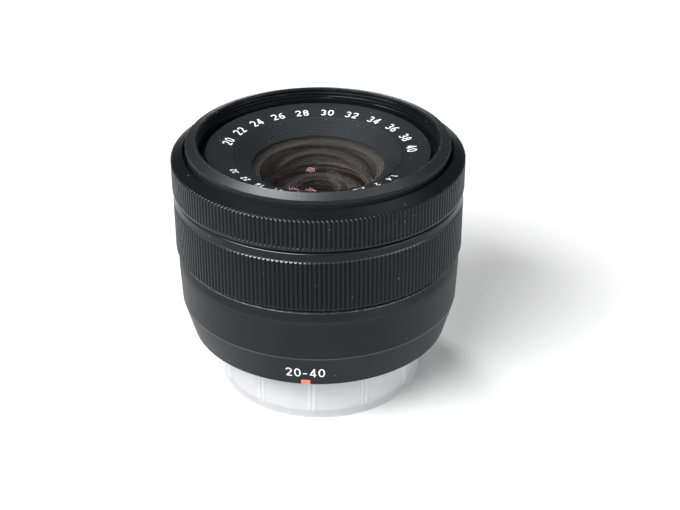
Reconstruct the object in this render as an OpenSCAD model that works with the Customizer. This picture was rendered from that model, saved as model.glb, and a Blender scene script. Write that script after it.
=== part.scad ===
// A retractable power-zoom lens for a camera, collapsed, standing front up on its rear cap.
// Millimetres. The origin lies on the optical axis in the plane of the mount flange, +Z points
// to the front, and the mounting index is at -Y. Angles are counted from +X.

/* [Outside] */
// Outer diameter over the focus ring
lens_d = 62.6; // [58:0.1:80]
// Length from the mount flange to the front rim, collapsed
lens_l = 44.2; // [42:0.1:56]
// How far the front barrel comes out
travel = 21; // [12:0.5:26]
// Thread diameter of the filter ring
filter_d = 52; // [40:0.5:52]
// Thread pitch of the filter ring
filter_pitch = 0.75; // [0.5:0.05:1]

/* [Rings] */
// Wall of the focus and zoom rings over their bearing lands
ring_wall = 1.5; // [1.2:0.1:2.4]
// Length of the focus ring
focus_l = 8.6; // [7:0.1:11]
// Length of the zoom ring
zoom_l = 13.65; // [11:0.05:17]
// Gap between the two rings
ring_gap = 0.5; // [0.4:0.05:1]
// Gap between the zoom ring and the rear cover
cover_gap = 0.8; // [0.4:0.05:1.5]
// Ribs round each ring
rib_count = 206; // [60:2:240]
// Depth of the grooves between the ribs
rib_depth = 0.35; // [0.2:0.05:0.5]
// Turn of the zoom ring to either side of its centre
zoom_turn = 18; // [10:1:20]

/* [Barrels] */
// Wall of the fixed barrel
fixed_wall = 1.1; // [0.9:0.1:1.6]
// Wall of the middle barrel
middle_wall = 1; // [0.8:0.1:1.5]
// Wall of the front barrel
front_wall = 1.1; // [0.9:0.1:1.6]
// Wall of the cam barrel
cam_wall = 1.6; // [1.5:0.1:2.4]
// Turn of the cam barrel from collapsed to extended
cam_turn = 100; // [80:1:105]
// Radius of a cam follower pin
pin_r = 0.9; // [0.6:0.05:1]
// Forward travel of the second lens group
group_travel = 6; // [3:0.5:7]

/* [Mount and cap] */
// Radius of the bayonet spigot
spigot_r = 19.9; // [18:0.1:20.5]
// Radius over the bayonet lugs
lug_r = 21.2; // [20.6:0.1:23]
// Length of the bayonet spigot
spigot_l = 5; // [4.5:0.1:6]
// Inner radius of the rear cap
cap_in = 21.6; // [21.3:0.1:25]
// Wall of the rear cap
cap_wall = 0.9; // [0.7:0.1:1.6]
// Depth of the rear cap below the flange
cap_depth = 13; // [11:0.1:18]
// Pairs of grip ribs round the rear cap
cap_rib_pairs = 12; // [6:1:18]

/* [Optics] */
// Radius of the front element
front_lens_r = 15.5; // [13:0.1:15.8]
// Clear radius at the bottom of the ribbed cone in front of it
cone_r = 14.2; // [11:0.1:14.4]
// Radius of the second group's frame
frame_r = 13.4; // [12.8:0.1:14]
// Radius of the elements beside the iris
inner_lens_r = 6.5; // [5:0.1:6.8]
// Stroke of the focusing lens
focus_stroke = 3; // [1.5:0.1:3.2]
// Stroke of the stabiliser to either side
shift_stroke = 0.6; // [0.3:0.05:0.7]
// Blades in the iris
blade_count = 7; // [7:1:7]

/* [Drive] */
// Tooth module of the zoom gears
gear_module = 0.4; // [0.35:0.05:0.45]
// Teeth of the idler
idler_teeth = 20; // [16:2:24]
// Teeth of the motor pinion
pinion_teeth = 10; // [8:1:12]
// Radius of the zoom motor
motor_r = 3.5; // [2.5:0.1:3.6]
// Radius of the guide rods
rod_r = 0.8; // [0.6:0.05:1]

/* [Clearances] */
// Radial gap under the turning rings
run_gap = 0.3; // [0.2:0.05:0.5]
// Radial gap between sliding barrels
slide_gap = 0.3; // [0.2:0.05:0.5]
// Radial gap of shafts, rods and bearings
shaft_gap = 0.05; // [0.02:0.01:0.1]
// Gap round pieces that are pressed or glued in place
seat_gap = 0.02; // [0:0.01:0.05]
// Gap between a follower pin and its groove
groove_gap = 0.15; // [0.1:0.05:0.25]

/* [Hidden] */
$fn = 192;

// Radii from the outside in
ring_r = lens_d / 2;
zoom_r = ring_r - 0.15;
ring_in = ring_r - ring_wall;
relief_r = ring_in + 0.5;
rib_inset = 0.05;
focus_core = ring_r - rib_inset - rib_depth - 0.1;
zoom_core = zoom_r - rib_inset - rib_depth - 0.1;
fixed_r = ring_in - run_gap;
fixed_in = fixed_r - fixed_wall;
middle_r = fixed_in - slide_gap;
middle_in = middle_r - middle_wall;
front_r = middle_in - slide_gap;
front_in = front_r - front_wall;
cam_r = front_in - slide_gap;
cam_in = cam_r - cam_wall;

// Heights of the outer shell, from the front back
focus_top = lens_l - 1.85;
focus_z = focus_top - focus_l;
zoom_top = focus_z - ring_gap;
zoom_z = zoom_top - zoom_l;
cover_top = zoom_z - cover_gap;
fixed_z = cover_top - 1.5;
fixed_top = focus_top - 2.45;
focus_bore = ring_r - 2.5;
lip_z = focus_top - 1.6;

// Rear cover, a cylinder over a cone that ends at the flange
cover_r = ring_r - 0.8;
crease_r = ring_r - 1.1;
foot_r = ring_r - 3.1;
cover_z = 0.3;
crease_z = 7.6;
cover_in = cover_r - 1.8;
flange_r = foot_r - 1.6;
flange_t = 1.8;
cover_lip_t = 0.8;
chassis_z = flange_t + cover_lip_t;
chassis_t = 1.6;
chassis_top = chassis_z + chassis_t;
chassis_r = foot_r - 1.1;
screw_ring = flange_r - 2.7;
screw_r = 0.8;
screw_angles = [45, 135, 225, 315];

// Front end
rim_r = focus_bore - 0.6;
rim_z = lens_l - 1.9;
thread_root = filter_d / 2;
thread_crest = thread_root - 0.4;
front_top = lens_l - 3.4;
cell_seat = lens_l - 7.3;
cell_flange_t = 1.1;
cell_top = cell_seat + cell_flange_t;
name_r = thread_crest - 0.7;
name_z = lens_l - 2.9;
cone_top_r = 18;
cone_top_z = name_z - 0.95;
cone_z = name_z - 3.6;
cone_steps = 8;
lens_edge_z = cell_top - 1.1;
lens_seat = lens_edge_z - 3.6;

// Cam barrel and its followers
cam_z = chassis_top + 0.3;
cam_top = lens_l - 8.8;
groove_depth = 0.7;
inner_groove_depth = 0.65;
front_pin_z = cam_z + 6.5;
middle_pin_z = cam_z + 17.5;
group_pin_z = cam_z + 14;
pin_angles = [20, 140, 260];
middle_lead = 30;
barrel_z = cam_z + 4.5;
key_w = 3;
key_l = 2.4;
key_z = zoom_z + 0.45;
key_angles = [30, 150, 270];

// Guide rods, gears and motors inside the cam barrel
rod_ring = cam_in - 3.8;
rod_top = 28;
rod_angles = [0, 180];
gear_z = cam_z + 1.5;
gear_t = 2;
cam_teeth = round(2 * (cam_in - 1.2) / gear_module);
idler_ring = gear_module * (cam_teeth - idler_teeth) / 2;
idler_angle = 90;
idler_post_r = 0.75;
idler_reach = gear_module * (idler_teeth + pinion_teeth) / 2;
motor_ring = idler_ring - 0.2;
motor_angle = idler_angle
  + acos((pow(idler_ring, 2) + pow(motor_ring, 2) - pow(idler_reach, 2)) / (2 * idler_ring * motor_ring));
shelf_z = gear_z + gear_t + 0.6;
shelf_t = 0.8;
motor_z = shelf_z + shelf_t;
motor_l = 9;
focus_motor_r = 3.2;
focus_motor_l = 4.5;
focus_motor_angle = 240;
focus_motor_ring = cam_in - 5.5;
screw_shaft_r = 0.7;
lead_screw_l = focus_stroke + 4;

// Lens groups, from the back
rear_cell_r = 12.3;
rear_cell_top = chassis_top + 2.4;
focus_cell_z = rear_cell_top + 0.6;
focus_cell_t = 3;
focus_cell_r = 11.2;
focus_lens_r = 8;
arm_z = focus_cell_z + 2;
arm_t = 1;
sleeve_r = 1.9;
frame_z = 15;
frame_in = frame_r - 1.2;
slider_z = frame_z + 1.3;
shift_cell_z = slider_z + 1.4;
shift_cell_t = 2.7;
shift_cell_r = 10.6;
iris_z = shift_cell_z + shift_cell_t + 0.6;
iris_plate_t = 0.6;
blade_z = iris_z + iris_plate_t + 0.1;
blade_t = 0.12;
blade_step = 0.17;
blade_pivot = 8;
blade_arm = 1.6;
blade_pin_r = 0.3;
post_r = 0.35;
drive_z = blade_z + blade_count * blade_step + 0.16;
drive_t = 0.6;
frame_plate_z = drive_z + drive_t + 0.4;
frame_top = frame_plate_z + 2.5;

// Spring and stop of the zoom ring
stop_angle = 90;
stop_half = 2.2;
stop_z = (zoom_z + zoom_top) / 2;
leg_gap = 0.8;
sensor_angle = 210;

cap_z = -0.3;
cap_r = cap_in + cap_wall;
cap_floor = 1;
cap_round = 2;
lug_angles = [30, 150, 270];
lug_half = 27;
board_z = 0.4;
block_half = 52;

black = [0.16, 0.17, 0.175];
cover_black = [0.19, 0.2, 0.21];
inner_black = [0.1, 0.1, 0.11];
steel = [0.72, 0.73, 0.75];
glass = [0.62, 0.72, 0.78, 0.4];

// A tube between two heights
module tube(r_out, r_in, z0, z1) {
  translate([0, 0, z0]) difference() {
    cylinder(r = r_out, h = z1 - z0);
    translate([0, 0, -1]) cylinder(r = r_in, h = z1 - z0 + 2);
  }
}

// A solid turned from an outline of radius and height
module turned(outline) {
  rotate_extrude() polygon(outline);
}

// Points of an arc in the plane
function arc(r, from, to, steps) = [for (i = [0 : steps]) let (a = from + (to - from) * i / steps)
  [r * cos(a), r * sin(a)]];

// Part of a ring, as a flat outline
function sector(r_in, r_out, from, to, steps = 6) =
  concat(arc(r_out, from, to, steps), arc(r_in, to, from, steps));

// Part of a tube, bounded by two angles
module tube_part(r_out, r_in, z0, z1, middle, half) {
  intersection() {
    tube(r_out, r_in, z0, z1);
    translate([0, 0, z0 - 1]) linear_extrude(z1 - z0 + 2)
      polygon(concat([[0, 0]], arc(2 * r_out, middle - half, middle + half, 6)));
  }
}

// Places its children at a radius and an angle
module at(r, angle) {
  rotate([0, 0, angle]) translate([r, 0, 0]) children();
}

// A radial pin between two radii
module radial_pin(r, from, to, z, angle) {
  rotate([0, 0, angle]) translate([from, 0, z]) rotate([0, 90, 0]) cylinder(r = r, h = to - from);
}

// A radial box between two radii
module radial_box(from, to, width, z0, z1, angle) {
  rotate([0, 0, angle]) translate([from, -width / 2, z0]) cube([to - from, width, z1 - z0]);
}

// Radius of the sphere that rises by sag over a circle of radius r
function dome(r, sag) = (r * r + sag * sag) / (2 * abs(sag));

// A lens element: an edge cylinder whose faces bulge out by a positive sag and in by a negative one
module element(r, z0, z1, front_sag, back_sag, hollow_rim = 1) {
  hollow_r = r - hollow_rim;
  difference() {
    union() {
      translate([0, 0, z0]) cylinder(r = r, h = z1 - z0);
      if (front_sag > 0) intersection() {
        translate([0, 0, z1 + front_sag - dome(r, front_sag)]) sphere(dome(r, front_sag));
        translate([0, 0, z1]) cylinder(r = r, h = front_sag + 1);
      }
      if (back_sag > 0) intersection() {
        translate([0, 0, z0 - back_sag + dome(r, back_sag)]) sphere(dome(r, back_sag));
        translate([0, 0, z0 - back_sag - 1]) cylinder(r = r, h = back_sag + 1);
      }
    }
    if (front_sag < 0) translate([0, 0, z1 + front_sag + dome(hollow_r, front_sag)])
      sphere(dome(hollow_r, front_sag));
    if (back_sag < 0) translate([0, 0, z0 - back_sag - dome(hollow_r, back_sag)])
      sphere(dome(hollow_r, back_sag));
  }
}

// Outline of a ribbed ring: two points for each rib
function ribbed(r) = [for (i = [0 : 2 * rib_count - 1]) let (a = 180 * i / rib_count)
  (i % 2 == 0 ? r : r - rib_depth) * [cos(a), sin(a)]];

// The ribbed band of a ring, hollowed to its inner radius
module rib_band(r, r_in, z0, z1) {
  difference() {
    translate([0, 0, z0]) linear_extrude(z1 - z0) polygon(ribbed(r));
    translate([0, 0, z0 - 1]) cylinder(r = r_in, h = z1 - z0 + 2);
  }
}

// Outline of a spur gear with slim straight-sided teeth, which leaves play for the mesh
function gear_outline(teeth, phase = 0) = let (pitch = gear_module * teeth / 2, step = 360 / teeth)
  [for (i = [0 : teeth - 1], k = [0 : 3]) let (
    r = k == 0 || k == 3 ? pitch - 1.2 * gear_module : pitch + 0.95 * gear_module,
    share = k == 0 ? -0.27 : k == 1 ? -0.1 : k == 2 ? 0.1 : 0.27,
    a = phase + (i + share) * step) r * [cos(a), sin(a)]];

// A helical groove for a follower pin, rising clockwise from an angle through the cam's turn
module cam_groove(r_in, r_out, z, rise, angle) {
  margin = pin_r + groove_gap + 0.1;
  arc_length = (r_in + r_out) / 2 * cam_turn * PI / 180;
  half = (pin_r + groove_gap) * sqrt(pow(rise, 2) + pow(arc_length, 2)) / rise;
  half_angle = half / r_in * 180 / PI;
  spare_turn = cam_turn * margin / rise;
  translate([0, 0, z - margin]) rotate([0, 0, angle + spare_turn])
    linear_extrude(rise + 2 * margin, twist = cam_turn + 2 * spare_turn, slices = 20, $fn = 0)
      polygon(sector(r_in, r_out, -half_angle, half_angle, ceil(half_angle / 5)));
}

// Rear cover: the lower body shell, with a lip that the flange clamps to the chassis
module rear_cover() {
  color(cover_black) turned([[flange_r + shaft_gap, cover_z], [foot_r, cover_z], [crease_r, crease_z],
    [cover_r, cover_top - 2.3], [cover_r - 0.2, cover_top - 0.4], [cover_r - 0.45, cover_top],
    [fixed_r + shaft_gap, cover_top], [fixed_r + shaft_gap, fixed_z], [cover_in, fixed_z],
    [cover_in, crease_z + 0.8], [chassis_r + 0.2, chassis_z], [flange_r - 1.6, chassis_z],
    [flange_r - 1.6, flange_t], [flange_r + shaft_gap, flange_t]]);
}

// Mount: flange, spigot and three bayonet lugs
module mount_flange() {
  color(black) difference() {
    union() {
      turned([[spigot_r - 1.2, -spigot_l], [spigot_r, -spigot_l], [spigot_r, 0], [flange_r, 0],
        [flange_r, flange_t], [spigot_r + 0.4, flange_t], [spigot_r + 0.4, board_z],
        [spigot_r - 1.2, board_z]]);
      for (a = lug_angles) tube_part(lug_r, spigot_r - 0.3, -spigot_l + 0.8, -spigot_l + 2.4, a, lug_half);
    }
    for (a = screw_angles) at(screw_ring, a) {
      translate([0, 0, -1]) cylinder(r = screw_r + shaft_gap, h = flange_t + 2);
      translate([0, 0, -1]) cylinder(r = 1.4, h = 1.9);
    }
  }
}

// Four screws hold the mount to the chassis
module mount_screws() {
  color(steel) for (a = screw_angles) at(screw_ring, a) difference() {
    union() {
      translate([0, 0, 0.05]) cylinder(r = 1.35, h = 0.85);
      translate([0, 0, 0.9]) cylinder(r = screw_r, h = chassis_top - 1.1);
    }
    for (turn = [0, 90]) rotate([0, 0, turn]) translate([-0.75, -0.16, -1]) cube([1.5, 0.32, 1.5]);
  }
}

// Block of the electrical contacts, inside the spigot below the index
module contact_block() {
  color(inner_black) difference() {
    tube_part(spigot_r - 1.2 - seat_gap, spigot_r - 3.9, -spigot_l, board_z, 270, block_half);
    contact_places() cylinder(r = 0.55 + seat_gap, h = 2);
  }
}

// Ten contact places along the block, from just behind its face
module contact_places() {
  for (i = [0 : 9]) at(spigot_r - 2.5, 270 + (i - 4.5) * 10) translate([0, 0, -spigot_l - 0.25]) children();
}

// Gold-plated contact pins
module contact_pins() {
  color([0.85, 0.66, 0.3]) contact_places() cylinder(r = 0.55, h = 1.9);
}

// Baffle with a window of the picture's shape, in the back of the spigot
module rear_baffle() {
  color(inner_black) translate([0, 0, -spigot_l + 0.5]) difference() {
    cylinder(r = spigot_r - 1.2 - shaft_gap, h = 0.8);
    translate([-13, -9, -1]) cube([26, 18, 3]);
    linear_extrude(5, center = true)
      polygon(sector(spigot_r - 4.1, spigot_r, 270 - block_half - 1, 270 + block_half + 1, 12));
  }
}

// Circuit board on the ledge of the spigot, with its chips
module main_board() {
  color([0.1, 0.32, 0.2]) {
    tube(spigot_r + 0.4 - seat_gap, rear_cell_r + 0.8, board_z, board_z + 1);
    for (a = [100, 200, 340]) radial_box(14.2, 17.8, 4.6, board_z + 1, board_z + 2.1, a);
  }
}

// Chassis plate: carries the cam bearing, rods, idler post, motor shelf and rear cell
module chassis() {
  root_z = chassis_top - 0.3;
  idler_room = gear_module * (idler_teeth / 2 + 1) + 0.3;
  color(inner_black) difference() {
    union() {
      tube(chassis_r, rear_cell_r + 0.1, chassis_z, chassis_top);
      tube(cam_in - shaft_gap, cam_in - 1.1, root_z, gear_z - 0.3);
      at(idler_ring, idler_angle) translate([0, 0, root_z]) cylinder(r = idler_post_r, h = shelf_z - root_z);
      at(motor_ring, motor_angle) translate([0, 0, shelf_z]) cylinder(r = motor_r + 0.4, h = shelf_t);
      radial_box(rear_cell_r + 1.6, motor_ring, 5, shelf_z, motor_z, motor_angle);
      radial_box(rear_cell_r + 1.6, rear_cell_r + 2.6, 5, root_z, motor_z, motor_angle);
    }
    for (a = screw_angles) at(screw_ring, a) translate([0, 0, chassis_z - 1])
      cylinder(r = screw_r + seat_gap, h = chassis_t + 2);
    for (a = rod_angles) at(rod_ring, a) translate([0, 0, chassis_z - 1])
      cylinder(r = rod_r + seat_gap, h = chassis_t + 2);
    at(motor_ring, motor_angle) translate([0, 0, shelf_z - 1]) cylinder(r = 0.6, h = shelf_t + 2);
    at(idler_ring, idler_angle) translate([0, 0, gear_z - 0.2]) difference() {
      cylinder(r = idler_room, h = gear_t + 0.4);
      translate([0, 0, -1]) cylinder(r = 2 * idler_post_r, h = gear_t + 3);
    }
  }
}

// Fixed barrel: bearing of both rings outside, straight guide slots of the middle barrel inside
module fixed_barrel() {
  color(inner_black) union() {
    difference() {
      tube(fixed_r, fixed_in, fixed_z, fixed_top);
      for (z = [zoom_top + 0.1, focus_z + 3.05]) tube(fixed_r + 1, fixed_r - 0.3, z, z + ring_gap - 0.2);
      for (a = key_angles) radial_box(fixed_in - 1, fixed_r + 1, key_w + 0.2, key_z - 0.25,
        key_z + key_l + travel / 2 + 0.25, a);
      tube_part(fixed_r + 1, fixed_r - 0.4, stop_z - 1.6, stop_z + 1.6, stop_angle, zoom_turn + 6);
      radial_box(fixed_in - 1, fixed_r + 1, 4 + 2 * seat_gap, fixed_top - 1.9, fixed_top - 0.7, sensor_angle);
    }
    tube_part(relief_r - 0.25, fixed_r - 0.2, stop_z - 3.4, stop_z - 2, stop_angle, stop_half);
  }
}

// Washer between the two rings, in a groove of the fixed barrel
module ring_spacer() {
  color(inner_black) tube(ring_r - 0.7, fixed_r - 0.3 + shaft_gap, zoom_top + 0.12, focus_z - 0.12);
}

// Spring clip that keeps the focus ring from coming off forwards
module focus_clip() {
  color(steel) tube_part(relief_r - 0.2, fixed_r - 0.3 + shaft_gap, focus_z + 3.1, focus_z + 3.3, 90, 165);
}

// Optical sensor that reads the focus ring's strip
module focus_sensor() {
  color([0.25, 0.25, 0.3]) intersection() {
    tube(fixed_r + 0.2, fixed_in + 0.15, fixed_top - 2, fixed_top);
    radial_box(fixed_in - 1, fixed_r + 1, 4, fixed_top - 1.88, fixed_top - 0.72, sensor_angle);
  }
}

// Resistive strip that senses the zoom ring
module zoom_sensor() {
  color([0.45, 0.3, 0.12])
    tube_part(fixed_r + 0.2, fixed_r + seat_gap, stop_z - 1.5, stop_z + 1.5, sensor_angle, 22);
}

// Wire spring that returns the zoom ring: its legs straddle the ring's stop and the fixed one
module zoom_spring() {
  wire_in = fixed_r + 0.22;
  wire_out = relief_r - 0.3;
  leg = stop_half + leg_gap;
  color(steel) union() {
    tube_part(wire_out, wire_in, stop_z + 2.2, stop_z + 2.6, stop_angle + 180, 180 - leg + 0.3);
    for (side = [-1, 1])
      tube_part(wire_out, wire_in, stop_z - 3.4, stop_z + 2.6, stop_angle + side * leg, 0.35);
  }
}

// Zoom motor on its shelf, shaft down
module zoom_motor() {
  color(steel) at(motor_ring, motor_angle) {
    translate([0, 0, motor_z]) cylinder(r = motor_r, h = motor_l);
    translate([0, 0, motor_z + motor_l]) cylinder(r = 1.2, h = 0.5);
  }
}

// Focusing motor with the strap that holds the far end of its screw
module focus_motor() {
  strap_top = chassis_top + focus_motor_l + lead_screw_l + 0.8;
  color(steel) at(focus_motor_ring, focus_motor_angle) difference() {
    union() {
      translate([0, 0, chassis_top]) cylinder(r = focus_motor_r, h = focus_motor_l);
      translate([2.3, -1.3, chassis_top]) cube([0.6, 2.6, strap_top - chassis_top]);
      translate([-1.2, -1.3, strap_top - 0.6]) cube([4.1, 2.6, 0.6]);
    }
    translate([0, 0, strap_top - 2]) cylinder(r = 0.45 + shaft_gap, h = 3);
  }
}

// Two steel rods guide the focusing lens and the second group
module guide_rods() {
  color(steel) for (a = rod_angles) at(rod_ring, a) translate([0, 0, chassis_z])
    cylinder(r = rod_r, h = rod_top - chassis_z);
}

// Cell of the fixed rear lenses
module rear_cell() {
  color(inner_black) turned([[10.55, -3.4], [rear_cell_r, -3.4], [rear_cell_r, chassis_top],
    [rear_cell_r + 1.3, chassis_top], [rear_cell_r + 1.3, chassis_top + 1], [rear_cell_r, chassis_top + 1],
    [rear_cell_r, rear_cell_top], [9.55, rear_cell_top], [9.55, 2], [8.8, 2], [8.8, 0], [10.55, 0]]);
}

// Front lens of the rear cell
module rear_element() {
  color(glass) element(9.5, 2, 4.4, 1.2, -0.6);
}

// Last lens, next to the picture
module field_element() {
  color(glass) element(10.5, -2.2, 0, -0.6, 0.8, 1.9);
}

// Focus ring: ribbed, with a bevelled front lip
module focus_ring() {
  color(black) union() {
    turned([[ring_in, focus_z], [focus_core - 0.2, focus_z], [focus_core, focus_z + 0.3],
      [focus_core, lip_z - 0.35], [ring_r, lip_z - 0.15], [ring_r, lip_z], [focus_bore + 0.2, focus_top],
      [focus_bore, focus_top - 0.1], [focus_bore, focus_top - 1.1], [ring_in, focus_top - 2.2],
      [relief_r, focus_top - 2.8], [relief_r, focus_z + 2.75], [ring_in, focus_z + 2.75]]);
    rib_band(ring_r - rib_inset, relief_r + 0.1, focus_z + 0.2, lip_z - 0.2);
  }
}

// Striped strip that the focus sensor reads
module encoder_strip() {
  color([0.6, 0.6, 0.62]) tube(relief_r - seat_gap, relief_r - 0.24, focus_top - 4.3, focus_top - 3.1);
}

// Zoom ring: ribbed below a smooth band, with a stop inside
module zoom_ring() {
  color(black) union() {
    turned([[ring_in, zoom_z], [zoom_core - 0.2, zoom_z], [zoom_core, zoom_z + 0.4],
      [zoom_core, zoom_top - 2.3], [zoom_r, zoom_top - 1.9], [zoom_r, zoom_top - 0.3],
      [zoom_r - 0.3, zoom_top], [ring_in, zoom_top], [ring_in, zoom_top - 2.25], [relief_r, zoom_top - 2.25],
      [relief_r, zoom_z + 2.4], [ring_in, zoom_z + 2.4]]);
    rib_band(zoom_r - rib_inset, relief_r + 0.1, zoom_z + 0.3, zoom_top - 2.05);
    tube_part(relief_r + 0.1, fixed_r - 0.25, stop_z - 1, stop_z + 1, stop_angle, stop_half);
  }
}

// Sprung wiper of the zoom ring's sensor
module zoom_brush() {
  color([0.8, 0.62, 0.3])
    tube_part(relief_r - seat_gap, fixed_r + 0.38, stop_z - 1, stop_z + 1, sensor_angle, 3);
}

// Cam barrel: grooves outside for the two barrels, one inside for the second group
module cam_barrel() {
  color([0.14, 0.14, 0.15]) difference() {
    tube(cam_r, cam_in, cam_z, cam_top);
    for (a = pin_angles) {
      cam_groove(cam_r - groove_depth, cam_r + 1, front_pin_z, travel, a);
      cam_groove(cam_r - groove_depth, cam_r + 1, middle_pin_z, travel / 2, a + middle_lead);
    }
    cam_groove(cam_in - 1, cam_in + inner_groove_depth, group_pin_z, group_travel, rod_angles[0]);
  }
}

// Toothed sector pressed into the cam barrel
module cam_gear() {
  half = cam_turn / 2 + 16;
  middle = idler_angle - cam_turn / 2;
  step = 360 / cam_teeth;
  phase = idler_angle % step;
  color([0.75, 0.75, 0.72]) intersection() {
    difference() {
      tube(cam_in - seat_gap, cam_in - 3, gear_z, gear_z + gear_t);
      translate([0, 0, gear_z - 1]) linear_extrude(gear_t + 2) polygon(inner_gear_outline(phase));
    }
    translate([0, 0, gear_z - 1]) linear_extrude(gear_t + 2)
      polygon(concat([[0, 0]], arc(2 * cam_in, middle - half, middle + half, 8)));
  }
}

// Space inside the toothed sector, with a gap between teeth at the phase angle
function inner_gear_outline(phase) = let (pitch = gear_module * cam_teeth / 2, step = 360 / cam_teeth)
  [for (i = [0 : cam_teeth - 1], k = [0 : 3]) let (
    r = k == 0 || k == 3 ? pitch - 0.95 * gear_module : pitch + 1.2 * gear_module,
    share = k == 0 ? -0.4 : k == 1 ? -0.23 : k == 2 ? 0.23 : 0.4,
    a = phase + (i + share) * step) r * [cos(a), sin(a)]];

// Idler between the motor and the toothed sector
module idler_gear() {
  color([0.85, 0.85, 0.82]) at(idler_ring, idler_angle) rotate([0, 0, -idler_angle])
    translate([0, 0, gear_z + 0.1]) difference() {
      linear_extrude(gear_t - 0.2) polygon(gear_outline(idler_teeth, idler_angle));
      translate([0, 0, -1]) cylinder(r = idler_post_r + shaft_gap, h = gear_t + 2);
    }
}

// Pinion with the motor's shaft. Its phase puts a gap where the idler shows a tooth
module motor_pinion() {
  idler_at = idler_ring * [cos(idler_angle), sin(idler_angle)];
  motor_at = motor_ring * [cos(motor_angle), sin(motor_angle)];
  line = atan2(motor_at[1] - idler_at[1], motor_at[0] - idler_at[0]);
  share = ((line - idler_angle) / (360 / idler_teeth)) % 1;
  phase = line + 180 - (0.5 - share) * 360 / pinion_teeth;
  color([0.8, 0.7, 0.45]) translate([motor_at[0], motor_at[1], 0]) {
    translate([0, 0, gear_z + 0.1]) linear_extrude(gear_t - 0.1) polygon(gear_outline(pinion_teeth, phase));
    translate([0, 0, gear_z + gear_t]) cylinder(r = 0.5, h = motor_z - gear_z - gear_t - 0.1);
  }
}

// Middle barrel, kept straight by three keys in the fixed barrel
module middle_barrel() {
  color(black) difference() {
    union() {
      tube(middle_r, middle_in, barrel_z, rim_z - 0.1);
      for (a = key_angles) radial_box(middle_r - 0.4, fixed_r - 0.3, key_w, key_z, key_z + key_l, a);
    }
    for (a = pin_angles)
      radial_pin(pin_r + seat_gap, middle_in - 1, middle_r + 1, middle_pin_z, a + middle_lead);
  }
}

// Follower pins of the middle barrel, which reach the cam through slots in the front barrel
module middle_pins() {
  color(steel) for (a = pin_angles)
    radial_pin(pin_r, cam_r - groove_depth + groove_gap, middle_r - 0.1, middle_pin_z, a + middle_lead);
}

// Front barrel, kept straight by the middle barrel's pins in its slots
module front_barrel() {
  slot_w = 2 * (pin_r + groove_gap);
  color(black) difference() {
    union() {
      tube(front_r, front_in, barrel_z + 0.5, front_top);
      tube(front_in + 0.1, front_in - 1.2, cell_seat - 1, cell_seat);
    }
    for (a = pin_angles) {
      radial_pin(pin_r + seat_gap, front_in - 1, front_r + 1, front_pin_z, a);
      radial_box(front_in - 1, front_r + 1, slot_w, middle_pin_z - travel / 2 - pin_r - groove_gap,
        middle_pin_z + pin_r + groove_gap, a + middle_lead);
    }
  }
}

// Follower pins of the front barrel
module front_pins() {
  color(steel) for (a = pin_angles)
    radial_pin(pin_r, cam_r - groove_depth + groove_gap, front_r - 0.1, front_pin_z, a);
}

// Filter ring: broad sloping rim, threaded inside, with a spigot that clamps the front cell
module filter_ring() {
  spigot = front_in - shaft_gap;
  ridge = 0.25;
  thread_top = lens_l - 0.5;
  thread_count = 3;
  thread = [for (i = [0 : thread_count - 1], k = [0 : 2]) let (z = thread_top - i * filter_pitch)
    k == 0 ? [thread_crest, z] : k == 1 ? [thread_root, z - (filter_pitch - ridge) / 2]
      : [thread_crest, z - filter_pitch + ridge]];
  color(black) turned(concat([[name_r + 0.1, cell_top], [spigot, cell_top], [spigot, front_top],
    [front_r, front_top], [front_r, rim_z], [rim_r, rim_z], [rim_r, lens_l - 0.8],
    [thread_root + 0.05, lens_l], [thread_root - 0.1, lens_l]], thread,
    [[thread_crest, name_z + 0.1], [name_r + 0.1, name_z + 0.1]]));
}

// Name ring: the dished black face round the front lens
module name_ring() {
  color([0.11, 0.12, 0.125]) turned([[cone_top_r + 0.1, cone_top_z - 0.9], [name_r - 0.9, cone_top_z - 0.9],
    [name_r - 0.9, cell_top], [name_r, cell_top], [name_r, name_z - 0.8], [name_r - 0.9, name_z - 0.8],
    [name_r - 0.9, name_z], [cone_top_r + 0.1, cone_top_z]]);
}

// Stepped cone that keeps stray light off the front lens and holds it in its cell
module front_baffle() {
  run = (cone_top_r - cone_r) / cone_steps;
  drop = (cone_top_z - cone_z) / cone_steps;
  steps = [for (i = [0 : cone_steps - 1], k = [0, 1])
    [cone_top_r - run * (i + k), cone_top_z - drop * i]];
  edge = front_lens_r - shaft_gap;
  color([0.2, 0.21, 0.22]) turned(concat([[cone_r, lens_edge_z + 0.5], [edge, lens_edge_z + 0.5],
    [edge, cell_top], [cone_top_r, cell_top]], steps));
}

// Cell of the front group, on the front barrel's inner lip
module front_cell() {
  wide = front_lens_r + 1.7;
  narrow_z = lens_seat - 0.6;
  color(inner_black) turned([[11.8, cell_seat - 8.4], [14.6, cell_seat - 8.4], [14.6, narrow_z],
    [wide, narrow_z], [wide, cell_seat], [front_in - 0.1, cell_seat], [front_in - 0.1, cell_top],
    [front_lens_r + shaft_gap, cell_top], [front_lens_r + shaft_gap, lens_seat], [13.05, lens_seat],
    [13.05, cell_seat - 7.6], [11.8, cell_seat - 7.6]]);
}

// Front lens, a deep meniscus
module front_element() {
  color(glass) element(front_lens_r, lens_seat, lens_edge_z, 2.2, -4.2, front_lens_r - 12);
}

// Cemented pair behind it
module front_doublet() {
  color(glass) element(13, cell_seat - 7.6, lens_seat - 0.6, -1.2, -0.6, 1.2);
}

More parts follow.
